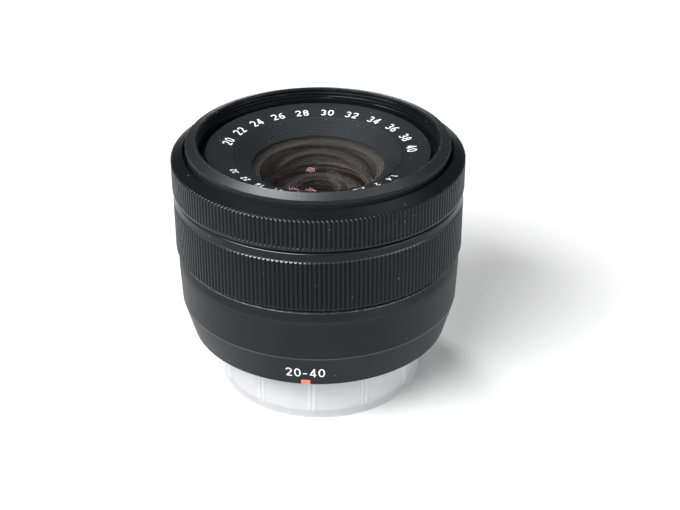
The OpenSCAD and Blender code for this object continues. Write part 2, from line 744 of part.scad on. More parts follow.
// Frame of the second group: iris and stabiliser inside, a sleeve and a fork on the rods
module group_frame() {
  color(inner_black) difference() {
    union() {
      tube(frame_r, frame_in, frame_z, frame_plate_z);
      tube(frame_r, inner_lens_r + 0.9, frame_z, frame_z + 0.9);
      tube(frame_r, inner_lens_r - 0.7, frame_plate_z, frame_plate_z + 0.8);
      tube(inner_lens_r + 1.1, inner_lens_r + shaft_gap, frame_plate_z + 0.8, frame_top);
      radial_box(frame_r - 0.4, rod_ring, 2.4, frame_z, frame_z + 7, rod_angles[0]);
      at(rod_ring, rod_angles[0]) translate([0, 0, frame_z]) cylinder(r = sleeve_r, h = 7);
      radial_box(frame_r - 0.4, rod_ring + 1.4, 3.6, frame_z + 5, frame_z + 6.2, rod_angles[1]);
    }
    at(rod_ring, rod_angles[0]) translate([0, 0, frame_z - 1]) cylinder(r = rod_r + shaft_gap, h = 9);
    radial_pin(pin_r + seat_gap, rod_ring + rod_r + 0.2, cam_r, group_pin_z, rod_angles[0]);
    radial_box(rod_ring - rod_r - shaft_gap, rod_ring + 2, 2 * (rod_r + shaft_gap), frame_z + 4,
      frame_z + 7, rod_angles[1]);
  }
}

// Follower pin of the second group
module follower_pin() {
  color(steel) radial_pin(pin_r, rod_ring + rod_r + 0.2, cam_in + inner_groove_depth - groove_gap,
    group_pin_z, rod_angles[0]);
}

// Iris base with the posts that its blades turn on
module iris_base() {
  color(inner_black) {
    tube(frame_in - shaft_gap, 4.8, iris_z, iris_z + iris_plate_t);
    for (i = [0 : blade_count - 1]) at(blade_pivot, i * 360 / blade_count)
      translate([0, 0, iris_z + 0.2]) cylinder(r = post_r, h = drive_z - iris_z - 0.26);
  }
}

// Motor of the iris, on the outside of the frame
module iris_motor() {
  radius = 2.2;
  color([0.2, 0.2, 0.22]) at(frame_r + radius + seat_gap, 300)
    translate([0, 0, frame_z + 2]) cylinder(r = radius, h = 7);
}

// Lens in front of the iris
module fourth_element() {
  color(glass) element(inner_lens_r, frame_plate_z + 0.8, frame_top - 0.7, 0.8, -0.3);
}

// Flat coils that push the stabiliser
module shift_coils() {
  color([0.72, 0.42, 0.2]) for (a = [45, 135]) at(8.7, a) tube(1.6, 0.7, iris_z - 0.35, iris_z);
}

// Ring that turns all the blades
module iris_drive_ring() {
  pin_ring = blade_pivot + blade_arm;
  color([0.24, 0.24, 0.25]) difference() {
    tube(frame_in - 0.5, blade_pivot + 0.8, drive_z, drive_z + drive_t);
    for (i = [0 : blade_count - 1]) radial_box(pin_ring - 0.6, pin_ring + 0.5, 2 * blade_pin_r + 0.16,
      drive_z - 1, drive_z + drive_t + 1, i * 360 / blade_count);
  }
}

// One iris blade: a crescent on a tab, with its drive pin. Each lies on its own level
module iris_blade(i) {
  color([0.22, 0.22, 0.22]) rotate([0, 0, i * 360 / blade_count])
    translate([0, 0, blade_z + i * blade_step]) {
    difference() {
      linear_extrude(blade_t) union() {
        polygon(sector(4.75, 7.1, -8, 115, 16));
        translate([6.2, -0.8]) square([blade_pivot - 5.8, 1.6]);
        translate([blade_pivot, 0]) circle(0.9);
        translate([blade_pivot, -0.55]) square([blade_arm, 1.1]);
        translate([blade_pivot + blade_arm, 0]) circle(0.55);
      }
      translate([blade_pivot, 0, -1]) cylinder(r = post_r + shaft_gap, h = 2);
    }
    translate([blade_pivot + blade_arm, 0, blade_t])
      cylinder(r = blade_pin_r, h = drive_z + drive_t + 0.1 - blade_z - i * blade_step - blade_t);
  }
}

// Slider of the stabiliser, moves along X
module shift_slider() {
  color([0.3, 0.3, 0.32]) tube(frame_in - shift_stroke - 0.4, inner_lens_r + 0.7, slider_z, slider_z + 1.1);
}

// Cell of the stabiliser, moves along Y on the slider
module shift_cell() {
  color([0.18, 0.18, 0.19]) difference() {
    union() {
      tube(shift_cell_r, inner_lens_r + shaft_gap, shift_cell_z, shift_cell_z + shift_cell_t);
      tube(inner_lens_r + 1, inner_lens_r - 0.6, shift_cell_z, shift_cell_z + 0.6);
    }
    magnet_places(seat_gap);
  }
}

// Two magnets let into the front of the stabiliser's cell
module magnet_places(extra) {
  for (a = [45, 135]) radial_box(7.6 - extra, 9.8 + extra, 3 + 2 * extra, shift_cell_z + shift_cell_t - 1,
    shift_cell_z + shift_cell_t - 0.1 + 10 * extra, a);
}

module shift_magnets() {
  color(steel) magnet_places(0);
}

// Lens of the stabiliser
module shift_element() {
  color(glass) element(inner_lens_r, shift_cell_z + 0.6, shift_cell_z + shift_cell_t - 0.8, 0.6, -0.3);
}

// Carriage of the focusing lens: cell, sleeve, fork and nut
module focus_carriage() {
  color(inner_black) difference() {
    union() {
      tube(focus_cell_r, focus_lens_r + shaft_gap, focus_cell_z, focus_cell_z + focus_cell_t);
      tube(focus_lens_r + 1, focus_lens_r - 0.8, focus_cell_z, focus_cell_z + 0.8);
      radial_box(focus_cell_r - 0.4, rod_ring + 1.4, 3.6, arm_z, arm_z + arm_t, rod_angles[0]);
      radial_box(focus_cell_r - 0.4, rod_ring, 3, arm_z, arm_z + arm_t, rod_angles[1]);
      at(rod_ring, rod_angles[1]) translate([0, 0, arm_z]) cylinder(r = sleeve_r, h = 5);
      radial_box(focus_cell_r - 0.4, focus_motor_ring, 2.6, arm_z, arm_z + arm_t, focus_motor_angle);
      at(focus_motor_ring, focus_motor_angle) translate([0, 0, arm_z]) cylinder(r = 1.5, h = 2.2);
    }
    radial_box(rod_ring - rod_r - shaft_gap, rod_ring + 2, 2 * (rod_r + shaft_gap), arm_z - 1,
      arm_z + arm_t + 1, rod_angles[0]);
    at(rod_ring, rod_angles[1]) translate([0, 0, arm_z - 1]) cylinder(r = rod_r + shaft_gap, h = 8);
    at(focus_motor_ring, focus_motor_angle) translate([0, 0, arm_z - 1])
      cylinder(r = screw_shaft_r + shaft_gap, h = 5);
  }
}

// Focusing lens
module focus_element() {
  color(glass) element(focus_lens_r, focus_cell_z + 0.8, focus_cell_z + focus_cell_t - 0.7, -0.5, -0.4);
}

// Screw that moves the focusing carriage
module lead_screw() {
  bottom = chassis_top + focus_motor_l + 0.05;
  color(steel) at(focus_motor_ring, focus_motor_angle) {
    translate([0, 0, bottom]) cylinder(r = screw_shaft_r, h = lead_screw_l);
    translate([0, 0, bottom + lead_screw_l]) cylinder(r = 0.45, h = 0.7);
  }
}

// Push-on rear cap: a translucent cup with pairs of grip ribs
module rear_cap() {
  bottom_arc = [for (p = arc(cap_round, 0, -90, 8)) p + [cap_r - cap_round, cap_round - cap_depth]];
  inner_round = cap_round - cap_wall;
  floor_z = cap_floor - cap_depth;
  inner_arc = [for (p = arc(inner_round, -90, 0, 6)) p + [cap_in - inner_round, inner_round + floor_z]];
  color([0.86, 0.87, 0.87, 0.75]) union() {
    turned(concat([[cap_in, cap_z], [cap_r, cap_z]], bottom_arc, [[0, -cap_depth], [0, floor_z]], inner_arc));
    for (i = [0 : cap_rib_pairs - 1], side = [-0.5, 0.5]) rotate([0, 0, 270 + i * 360 / cap_rib_pairs])
      translate([cap_r - 0.2, side - 0.19, 2.4 - cap_depth]) cube([0.42, 0.38, cap_depth - 2.9]);
  }
}

rear_cover();
mount_flange();
mount_screws();
contact_block();
contact_pins();
rear_baffle();
main_board();
chassis();
fixed_barrel();
ring_spacer();
focus_clip();
focus_sensor();
zoom_sensor();
zoom_spring();
zoom_motor();
focus_motor();
guide_rods();
rear_cell();
rear_element();
field_element();
focus_ring();
encoder_strip();
zoom_ring();
zoom_brush();
cam_barrel();
cam_gear();
idler_gear();
motor_pinion();
middle_barrel();
middle_pins();
front_barrel();
front_pins();
filter_ring();
name_ring();
front_baffle();
front_cell();
front_element();
front_doublet();
group_frame();
follower_pin();
iris_base();
iris_motor();
fourth_element();
shift_coils();
iris_drive_ring();
for (i = [0 : blade_count - 1])
  iris_blade(i);
shift_slider();
shift_cell();
shift_magnets();
shift_element();
focus_carriage();
focus_element();
lead_screw();
rear_cap();
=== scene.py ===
# %% [markdown]
# # A camera zoom lens, standing on its rear cap
# The construction model is a frame of solids at their real size and place. This lesson dresses that frame:
# the outer shells become finer meshes with real ribs, threads and rounded edges, and every solid gets a
# finish. Nothing here moves or resizes the frame, so each new piece takes its measures from it.

# %% Load the frame
import math
from collections import namedtuple

import bmesh
import bpy
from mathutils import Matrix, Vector


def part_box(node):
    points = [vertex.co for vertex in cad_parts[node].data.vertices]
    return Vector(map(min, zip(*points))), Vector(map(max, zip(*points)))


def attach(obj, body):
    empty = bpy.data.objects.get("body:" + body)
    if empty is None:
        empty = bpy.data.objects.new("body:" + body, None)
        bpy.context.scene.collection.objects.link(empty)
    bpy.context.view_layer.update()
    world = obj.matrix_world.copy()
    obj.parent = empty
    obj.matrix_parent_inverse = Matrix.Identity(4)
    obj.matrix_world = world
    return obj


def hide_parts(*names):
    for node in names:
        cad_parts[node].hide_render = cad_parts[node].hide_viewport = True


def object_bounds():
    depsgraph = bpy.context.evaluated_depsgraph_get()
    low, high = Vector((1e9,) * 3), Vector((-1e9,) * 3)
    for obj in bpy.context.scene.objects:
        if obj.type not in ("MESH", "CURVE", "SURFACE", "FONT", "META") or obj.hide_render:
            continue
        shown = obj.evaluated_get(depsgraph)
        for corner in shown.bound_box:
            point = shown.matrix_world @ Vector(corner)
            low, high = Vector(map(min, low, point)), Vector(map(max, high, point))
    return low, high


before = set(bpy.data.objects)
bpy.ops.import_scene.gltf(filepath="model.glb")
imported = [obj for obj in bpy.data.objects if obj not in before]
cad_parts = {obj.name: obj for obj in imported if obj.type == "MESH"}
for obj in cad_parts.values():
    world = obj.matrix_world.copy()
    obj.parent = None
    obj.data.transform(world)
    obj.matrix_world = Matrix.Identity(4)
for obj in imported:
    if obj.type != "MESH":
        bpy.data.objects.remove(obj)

MM = 0.001
FULL_TURN = 2 * math.pi
cad_low, cad_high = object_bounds()
scene = bpy.context.scene
print("frame box in mm:", [round(side / MM, 1) for side in cad_high - cad_low])

# %% [markdown]
# ## Camera
# The picture was taken from about thirty degrees above the table with a long lens. A camera can be placed by
# eye, or worked out from ellipses: the rims of the lens are circles, and how flat and how wide they look
# gives the pitch, the distance and the focal length. These are the fitted values.

# %% Place the camera
PICTURE_WIDTH_PX = 680
FOCAL_LENGTH_PX = 1484
SENSOR_WIDTH = 36
CAMERA_PITCH = math.radians(29.66)
CAMERA_AZIMUTH = math.radians(5.1)
CAMERA_DISTANCE = 328.8 * MM
CAMERA_SIDE_STEP = 4.65 * MM
AIM_HEIGHT = 15.22 * MM


def direction(azimuth, elevation):
    """The direction from the lens towards a place round it. Azimuth 0 is in front, at -Y."""
    level = math.cos(elevation)
    return Vector((math.sin(azimuth) * level, -math.cos(azimuth) * level, math.sin(elevation)))


def look(thing, towards):
    """Turns a camera or a lamp so that it looks along a direction."""
    thing.rotation_mode = "QUATERNION"
    thing.rotation_quaternion = towards.to_track_quat("-Z", "Y")


camera_data = bpy.data.cameras.new("portrait_camera")
camera_data.sensor_width = SENSOR_WIDTH
camera_data.lens = FOCAL_LENGTH_PX / PICTURE_WIDTH_PX * SENSOR_WIDTH
camera = bpy.data.objects.new("portrait_camera", camera_data)
scene.collection.objects.link(camera)
back = direction(CAMERA_AZIMUTH, CAMERA_PITCH)
to_the_right = direction(CAMERA_AZIMUTH + math.pi / 2, 0)
camera.location = Vector((0, 0, AIM_HEIGHT)) + back * CAMERA_DISTANCE + to_the_right * CAMERA_SIDE_STEP
look(camera, -back)
scene.camera = camera
print("camera lens in mm:", round(camera_data.lens, 1))

# %% [markdown]
# ## Light and floor
# Product pictures of black things are lit with large soft lamps, because a black surface shows mostly what
# it reflects. One softbox stands in front on the left and throws the shadow to the right. A smaller one
# hangs behind and draws the light edge on the sloping rim, and two weaker ones on the right, high and low,
# lift the dark side. The white floor lights the lens from below.

# %% Softboxes
LAMP_AIM = Vector((0, 0, 20 * MM))


def softbox(name, azimuth, elevation, distance, width, height, power):
    """A soft oval lamp that looks at the lens, with its angles in degrees and its sizes in metres."""
    lamp_data = bpy.data.lights.new(name, "AREA")
    lamp_data.shape = "ELLIPSE"
    lamp_data.size = width
    lamp_data.size_y = height
    lamp_data.energy = power
    lamp = bpy.data.objects.new(name, lamp_data)
    scene.collection.objects.link(lamp)
    towards_lamp = direction(math.radians(azimuth), math.radians(elevation))
    lamp.location = LAMP_AIM + towards_lamp * distance
    look(lamp, -towards_lamp)
    print(name, "in watts:", power)


softbox("key_softbox", azimuth=-40, elevation=43, distance=0.8, width=0.8, height=0.42, power=12.2)
softbox("back_softbox", azimuth=-153, elevation=60, distance=0.8, width=0.19, height=0.19, power=2.0)
softbox("side_softbox", azimuth=116, elevation=64, distance=1.0, width=0.7, height=0.4, power=1.25)
softbox("fill_softbox", azimuth=60, elevation=11, distance=1.0, width=1.1, height=0.45, power=5.0)

# %% Walls and floor
WALL_COLOUR = (0.96, 0.98, 1.0, 1)
WALL_STRENGTH = 0.1
FLOOR_SIZE = 6.0
FLOOR_SQUARES = 8

world = bpy.data.worlds.new("studio_walls")
world.use_nodes = True
background = world.node_tree.nodes["Background"]
background.inputs["Color"].default_value = WALL_COLOUR
background.inputs["Strength"].default_value = WALL_STRENGTH
scene.world = world
scene.view_settings.view_transform = "Standard"

floor_bm = bmesh.new()
bmesh.ops.create_grid(floor_bm, x_segments=FLOOR_SQUARES, y_segments=FLOOR_SQUARES, size=FLOOR_SIZE / 2)
floor_mesh = bpy.data.meshes.new("floor")
floor_bm.to_mesh(floor_mesh)
floor_bm.free()
floor = bpy.data.objects.new("floor", floor_mesh)
floor.location.z = cad_low.z
scene.collection.objects.link(floor)
print("floor at mm:", round(cad_low.z / MM, 2))

# %% [markdown]
# ## Arithmetic with shader sockets
# A finish is a small sum: roughness plus a little noise, one colour where a mask is 0 and another where it
# is 1. Written as nodes, a sum is long. This class wraps an output socket, so that `1 - mask * 0.5` adds the
# Math nodes by itself. Any other node comes from the method `node`: its settings first, then what goes into
# its sockets.

# %% A socket that can stand in a sum
class Wire:
    """An output socket of a shader tree that works in Python expressions."""

    def __init__(self, tree, socket=None):
        self.tree = tree
        self.socket = socket

    def node(self, kind, settings=None, inputs=None, output=0):
        """Adds a node and returns one of its outputs. Inputs are numbers, colours or other wires."""
        made = self.tree.nodes.new("ShaderNode" + kind)
        for key, value in (settings or {}).items():
            setattr(made, key, value)
        for key, value in (inputs or {}).items():
            if isinstance(value, Wire):
                self.tree.links.new(value.socket, made.inputs[key])
            else:
                made.inputs[key].default_value = value
        return Wire(self.tree, made.outputs[output])

    def other(self, output):
        """Another output of the same node."""
        return Wire(self.tree, self.socket.node.outputs[output])

    def maths(self, operation, *values):
        """A Math node on numbers or wires."""
        return self.node("Math", {"operation": operation}, dict(enumerate(values)))

    def __add__(self, value):
        return self.maths("ADD", self, value)

    def __sub__(self, value):
        return self.maths("SUBTRACT", self, value)

    def __rsub__(self, value):
        return self.maths("SUBTRACT", value, self)

    def __mul__(self, value):
        return self.maths("MULTIPLY", self, value)

    def __pow__(self, value):
        return self.maths("POWER", self, value)

    def __lt__(self, value):
        return self.maths("LESS_THAN", self, value)

    def __gt__(self, value):
        return self.maths("GREATER_THAN", self, value)

    __radd__ = __add__
    __rmul__ = __mul__


# %% [markdown]
# ## Patterns and colours
# Each piece keeps its place in its mesh, so object coordinates are places on the real lens, in metres, and a
# pattern has one scale everywhere. Noise gives grain and clouding. Colours go through a Mix node, because a
# Math node would turn them grey.

# %% Noise and mixed colours
# The numbers of a Mix node's sockets when it mixes colours
MIX_SHARE = 0
MIX_FIRST = 6
MIX_SECOND = 7
MIX_RESULT = 2


def place(w):
    """Where a point lies on the lens, in metres."""
    return w.node("TexCoord", output="Object")


def noise(w, size, detail=3.0, stretch=(1, 1, 1)):
    """Cloudy noise from 0 to 1, with lumps about size millimetres across."""
    where = w.node("VectorMath", {"operation": "MULTIPLY"}, {0: place(w), 1: stretch})
    return w.node("TexNoise", {}, {"Vector": where, "Scale": 1 / (size * MM), "Detail": detail})


def mixed(w, share, first, second):
    """A colour between two, by a share from 0 to 1."""
    colours = {MIX_SHARE: share, MIX_FIRST: first, MIX_SECOND: second}
    return w.node("Mix", {"data_type": "RGBA"}, colours, MIX_RESULT)


# %% A new finish
def new_finish(name, **numbers):
    """A material, a wire to build on and its shader. The numbers go on the shader's own sockets."""
    material = bpy.data.materials.new(name)
    material.use_nodes = True
    shader = material.node_tree.nodes["Principled BSDF"]
    for socket, value in numbers.items():
        shader.inputs[socket.replace("_", " ")].default_value = value
    print("finish:", name)
    return material, Wire(material.node_tree), shader


def drive(shader, **wires):
    """Links wires to a shader's sockets."""
    for socket, wire in wires.items():
        shader.id_data.links.new(wire.socket, shader.inputs[socket.replace("_", " ")])


# %% [markdown]
# ## Floor finish
# A sheet of white paper: almost even, with a trace of fibre, so that the shadow has something to lie on. The
# fibre is noise between two whites.

# %% Paper floor
PAPER_SHADE = (0.86, 0.86, 0.86, 1)
PAPER_LIGHT = (0.9, 0.9, 0.9, 1)
FIBRE_SIZE = 1.5


def paper_floor():
    """White paper with a trace of fibre."""
    material, w, shader = new_finish("paper_floor", Roughness=0.8, Specular_IOR_Level=0.2)
    drive(shader, Base_Color=mixed(w, noise(w, FIBRE_SIZE), PAPER_SHADE, PAPER_LIGHT))
    return material


floor_mesh.materials.append(paper_floor())

# %% [markdown]
# ## Black plastics
# Most of the outside is black moulded plastic. It never looks plain black: it has a fine spark-eroded grain
# from the mould, it is a little glossier where fingers rub it, and it collects pale specks of lint. One
# function makes all of these, and each piece says where it is rubbed. On some edges and facets the same
# pale grey is a painted highlight.

# %% Lint, bumps and shades
SPECK_RADIUS = 0.1


def lint(w, spacing, share):
    """Specks of dust: 1 on a share of small dots about spacing millimetres apart."""
    cells = w.node("TexVoronoi", {}, {"Vector": place(w), "Scale": 1 / (spacing * MM)})
    lot = w.node("SeparateColor", {}, {0: cells.other("Color")})
    return (cells < SPECK_RADIUS) * (lot > 1 - share)


def bumped(w, height, depth):
    """A normal roughened by a height from 0 to 1 that stands for depth millimetres."""
    return w.node("Bump", {}, {"Strength": 1.0, "Distance": depth * MM, "Height": height})


def tint(shade, strength=1.0):
    """A shade of three parts, made darker or lighter, as a colour for a socket."""
    return tuple(strength * part for part in shade) + (1,)


# %% Black moulded plastic
LINT_GREY = (0.3, 0.29, 0.27, 1)
LINT_SPACING = 0.9
# Pale grey for worn places, and for painted highlights on edges and facets
WEAR_AND_HIGHLIGHT_GREY = (0.125, 0.122, 0.117, 1)
RUBBED_SMOOTHER = 0.14
COOL_GLOSS = (0.8, 0.92, 1.0, 1)
CLOUD_SIZE = 11.0
CLOUD_DARK = 0.8
CLOUD_LIGHT = 1.2
GRAIN_ROUGHENS = 0.1
CLOUD_ROUGHENS = 0.08


def black_plastic(name, shade, roughness, grain=0.16, depth=0.004, specks=0.08, gloss=0.21, wear_and_highlights=None,
                  wear_and_highlight_share=1.0, polish=None, polish_roughness=0.2):
    """Moulded plastic with grain and lint. wear_and_highlights and polish are functions that give a mask of
    such places. The first pales the colour, as wear or as a painted highlight; wear_and_highlight_share says
    how far."""
    material, w, shader = new_finish(name, Specular_IOR_Level=gloss, Specular_Tint=COOL_GLOSS,
                                     Coat_Roughness=polish_roughness)
    fine = noise(w, grain)
    cloud = noise(w, CLOUD_SIZE)
    colour = mixed(w, cloud, tint(shade, CLOUD_DARK), tint(shade, CLOUD_LIGHT))
    dull = roughness + GRAIN_ROUGHENS * (fine - 0.5) + CLOUD_ROUGHENS * (cloud - 0.5)
    if wear_and_highlights:
        wear_and_highlight_mask = wear_and_highlights(w)
        # Pales the colour: wear in some places, a painted highlight in others
        colour = mixed(w, wear_and_highlight_mask * wear_and_highlight_share, colour, WEAR_AND_HIGHLIGHT_GREY)
        dull = dull - RUBBED_SMOOTHER * wear_and_highlight_mask
        drive(shader, Coat_Weight=polish(w) if polish else wear_and_highlight_mask)
    colour = mixed(w, lint(w, LINT_SPACING, specks), colour, LINT_GREY)
    drive(shader, Base_Color=colour, Roughness=dull, Normal=bumped(w, fine, depth))
    return material


# %% [markdown]
# ## Shaping tools
# Nearly every piece of a lens comes off a lathe or out of a round mould, so one tool turns an outline round
# the axis. Blender's Screw modifier turns an outline too, but here the outline may change with the angle,
# which makes ribs and a screw thread with the same few lines.

# %% Measure and turn
Span = namedtuple("Span", "bottom top radius")


def span(node):
    """Lowest and highest place and outer radius of a frame node, in millimetres."""
    low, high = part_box(node)
    return Span(low.z / MM, high.z / MM, high.x / MM)


def turned(outline, around, painted=()):
    """A mesh from an outline of (radius, height) in millimetres, which may be a function of angle and depth.
    The outline's steps that are listed as painted take the piece's second material."""
    bm = bmesh.new()
    rings = []
    for angle, depth in around:
        points = outline(angle, depth) if callable(outline) else outline
        across, along = math.cos(angle) * MM, math.sin(angle) * MM
        rings.append([bm.verts.new((r * across, r * along, z * MM)) for r, z in points])
    for k, ring in enumerate(rings):
        following = rings[(k + 1) % len(rings)]
        for i in range(len(ring)):
            j = (i + 1) % len(ring)
            face = bm.faces.new((ring[i], following[i], following[j], ring[j]))
            face.material_index = int(i in painted)
    return bm


# %% From a mesh to a piece
SHARP_ANGLE = math.radians(30)
SAME_PLACE = 1e-7


def piece_from(bm, name, body, slot, *materials):
    """Makes a smooth-shaded object of a mesh and lets it ride on a body."""
    bmesh.ops.remove_doubles(bm, verts=bm.verts, dist=SAME_PLACE)
    bmesh.ops.recalc_face_normals(bm, faces=bm.faces)
    mesh = bpy.data.meshes.new(name)
    bm.to_mesh(mesh)
    bm.free()
    for material in materials:
        mesh.materials.append(material)
    mesh.shade_smooth()
    mesh.set_sharp_from_angle(angle=SHARP_ANGLE)
    piece = bpy.data.objects.new(name, mesh)
    scene.collection.objects.link(piece)
    even = piece.modifiers.new("even_normals", "WEIGHTED_NORMAL")
    even.keep_sharp = True
    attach(piece, body)
    print(name, "has", len(mesh.polygons), "faces")
    return piece


# %% [markdown]
# ## Focus ring
# The front ring has about two hundred fine ribs, cut off at the top by a smooth bevel, so its upper edge
# shows a row of small teeth. Ribs could be a bump texture, but the teeth and the outline would be missing,
# so they are modelled: each rib is ten columns of points, and the outline knows how deep the groove is at
# each column.

# %% Rib columns
RIB_COUNT = 206
RIB_DEPTH = 0.29
# Places across one rib, from its crest through the groove, each with the share of the groove's depth
RIB_SHAPE = ((0.0, 0.0), (0.17, 0.0), (0.22, 0.1), (0.33, 0.52), (0.44, 0.95), (0.5, 1.0),
             (0.56, 0.95), (0.67, 0.52), (0.78, 0.1), (0.83, 0.0))
rib_columns = []
for k in range(RIB_COUNT):
    rib_columns += [(FULL_TURN * (k + share) / RIB_COUNT, depth) for share, depth in RIB_SHAPE]
print("columns of points round a ribbed ring:", len(rib_columns))

# %% Focus ring outline
focus = span("focus_ring")
FOCUS_BORE = focus.radius - 2.5
FOCUS_CREST = focus.radius + 0.08
FOCUS_ROOT = FOCUS_CREST - RIB_DEPTH
FOCUS_SKIRT = FOCUS_CREST - 0.03
FOCUS_FOOT = focus.bottom - 0.12
FOCUS_RIB_FOOT = focus.bottom + 0.42
FOCUS_LAND = focus.bottom + 2.75
RING_BORE = focus.radius - 1.5
RELIEF = RING_BORE + 0.5
BEVEL_TOP = focus.top - 0.42
BEVEL_LIP = BEVEL_TOP - 1.58
BEVEL_SLOPE = (BEVEL_TOP - BEVEL_LIP) / (FOCUS_CREST - FOCUS_BORE)
TOOTH_CUT = 0.11


def on_bevel(radius):
    """Height of the bevel at a radius, which may be a number or a wire."""
    return BEVEL_LIP + (FOCUS_CREST - radius) * BEVEL_SLOPE


def focus_outline(angle, depth):
    """Outline of the focus ring where the grooves have a share of their depth."""
    side = FOCUS_CREST - RIB_DEPTH * depth
    foot = [(RING_BORE, focus.bottom), (RING_BORE + 0.9, focus.bottom), (RING_BORE + 0.95, FOCUS_FOOT),
            (FOCUS_CREST - 0.2, FOCUS_FOOT), (FOCUS_CREST - 0.07, FOCUS_FOOT + 0.05),
            (FOCUS_SKIRT, FOCUS_FOOT + 0.16), (FOCUS_SKIRT, FOCUS_RIB_FOOT)]
    rib = [(side, FOCUS_RIB_FOOT + 0.04 + 0.22 * depth), (side, on_bevel(side) - 0.09)]
    bevel = [(side - TOOTH_CUT, on_bevel(side - TOOTH_CUT)), (FOCUS_ROOT - 0.3, on_bevel(FOCUS_ROOT - 0.3)),
             (FOCUS_BORE + 0.3, on_bevel(FOCUS_BORE + 0.3)), (FOCUS_BORE + 0.1, on_bevel(FOCUS_BORE + 0.12))]
    bore = [(FOCUS_BORE, BEVEL_TOP - 0.2), (FOCUS_BORE, focus.top - 1.1), (RING_BORE, focus.top - 2.2),
            (RELIEF, focus.top - 2.8), (RELIEF, FOCUS_LAND), (RING_BORE, FOCUS_LAND)]
    return foot + rib + bevel + bore


print("focus ring across its ribs in mm:", round(2 * FOCUS_CREST, 2))

# %% Places round the axis
RoundPlace = namedtuple("RoundPlace", "radius height angle")


def round_axis(w):
    """Radius and height of a point in millimetres, and its angle round the lens axis in radians."""
    x = w.node("SeparateXYZ", {}, {0: place(w)})
    y = x.other("Y")
    radius = (x * x + y * y) ** 0.5 * (1 / MM)
    return RoundPlace(radius, x.other("Z") * (1 / MM), w.maths("ARCTAN2", y, x))


def rise(w, value, low, high):
    """0 up to low, 1 from high on, with a soft step between."""
    return w.node("MapRange", {"interpolation_type": "SMOOTHSTEP"},
                  {"Value": value, "From Min": low, "From Max": high})


# %% Focus ring finish and mesh
def rubbed_focus(w):
    """Worn, polished crests, and polished teeth where the bevel cuts the ribs, with a painted highlight."""
    at = round_axis(w)
    crests = rise(w, at.radius, FOCUS_CREST - 0.06, FOCUS_CREST) * rise(w, noise(w, size=2.4), 0.35, 0.75)
    below_bevel = on_bevel(at.radius) - at.height
    teeth = rise(w, below_bevel, 0.0, 0.02) * (1 - rise(w, below_bevel, 0.08, 0.11))
    ribbed = rise(w, at.radius, FOCUS_ROOT - 0.2, FOCUS_ROOT - 0.15)
    # The crests are wear; the teeth are a painted highlight with polish
    return crests * 0.1 + teeth * ribbed * 0.3


RING_BLACK = (0.0034, 0.0038, 0.0042)
focus_finish = black_plastic("focus_ring_black", RING_BLACK, roughness=0.33, wear_and_highlights=rubbed_focus, wear_and_highlight_share=0.25)
focus_grip = piece_from(turned(focus_outline, rib_columns), "focus_grip", "focus_ring_body",
                        "black_plastic", focus_finish)
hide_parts("focus_ring")

# %% [markdown]
# ## Zoom ring
# Below it sits the power-zoom ring. Its ribs stand proud of a smooth band, and each rib ends there in a
# slanted facet that flashes in the light. The band's upper edge is rounded. Facets and edge also get a
# painted highlight in their colour. The columns are those of the focus ring, so only the outline is new.

# %% Zoom ring outline
zoom = span("zoom_ring")
ZOOM_CREST = zoom.radius + 0.08
ZOOM_BAND = zoom.radius - 0.19
ZOOM_RIB_TOP = zoom.top - 2.4
ZOOM_UPPER_LAND = zoom.top - 2.25
ZOOM_LOWER_LAND = zoom.bottom + 2.4
FACET_HEIGHT = 0.34
FACET_TOP = ZOOM_RIB_TOP + FACET_HEIGHT
BAND_TOP = zoom.top - 0.3
BAND_EDGE_STEPS = 8
BAND_EDGE_ACROSS = 0.35
BAND_EDGE_DOWN = 0.5


def zoom_outline(angle, depth):
    """Outline of the zoom ring where the grooves have a share of their depth."""
    side = ZOOM_CREST - RIB_DEPTH * depth
    proud = 1 - depth
    facet = FACET_HEIGHT * min(1, (ZOOM_CREST - side) / (ZOOM_CREST - ZOOM_BAND))
    foot = [(RING_BORE, zoom.bottom), (ZOOM_CREST - 0.6, zoom.bottom),
            (ZOOM_CREST - 0.45, zoom.bottom + 0.12), (ZOOM_CREST - 0.4, zoom.bottom + 0.25)]
    rib = [(side - 0.03, zoom.bottom + 0.3 + 0.2 * proud), (side, zoom.bottom + 0.4 + 0.2 * proud),
           (side, ZOOM_RIB_TOP + facet)]
    band = [(ZOOM_BAND + 0.005, FACET_TOP), (ZOOM_BAND, FACET_TOP + 0.02)]
    for k in range(BAND_EDGE_STEPS + 1):
        tilt = math.pi / 2 * k / BAND_EDGE_STEPS
        band.append((ZOOM_BAND - BAND_EDGE_ACROSS * (1 - math.cos(tilt)),
                     BAND_TOP - BAND_EDGE_DOWN * (1 - math.sin(tilt))))
    bore = [(RELIEF, BAND_TOP), (RING_BORE, zoom.top), (RING_BORE, ZOOM_UPPER_LAND),
            (RELIEF, ZOOM_UPPER_LAND), (RELIEF, ZOOM_LOWER_LAND), (RING_BORE, ZOOM_LOWER_LAND)]
    return foot + rib + band + bore


print("smooth band of the zoom ring in mm:", round(BAND_TOP - FACET_TOP, 2))

# %% Zoom ring finish and mesh
def rubbed_zoom(w):
    """Polished facets of the zoom ring's ribs and its band's upper edge, with a painted highlight."""
    at = round_axis(w)
    proud = rise(w, at.radius, ZOOM_BAND + 0.01, ZOOM_BAND + 0.03)
    facets = rise(w, at.height, ZOOM_RIB_TOP - 0.02, ZOOM_RIB_TOP + 0.04) * proud
    edge = rise(w, at.height, BAND_TOP - 0.3, BAND_TOP - 0.12)
    # Facets and band edge: polish, and a paler colour as a painted highlight
    return facets + edge * 0.6


zoom_finish = black_plastic("zoom_ring_black", RING_BLACK, roughness=0.33, wear_and_highlights=rubbed_zoom, wear_and_highlight_share=0.2)
zoom_grip = piece_from(turned(zoom_outline, rib_columns), "zoom_grip", "zoom_ring_body", "black_plastic",
                       zoom_finish)
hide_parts("zoom_ring")

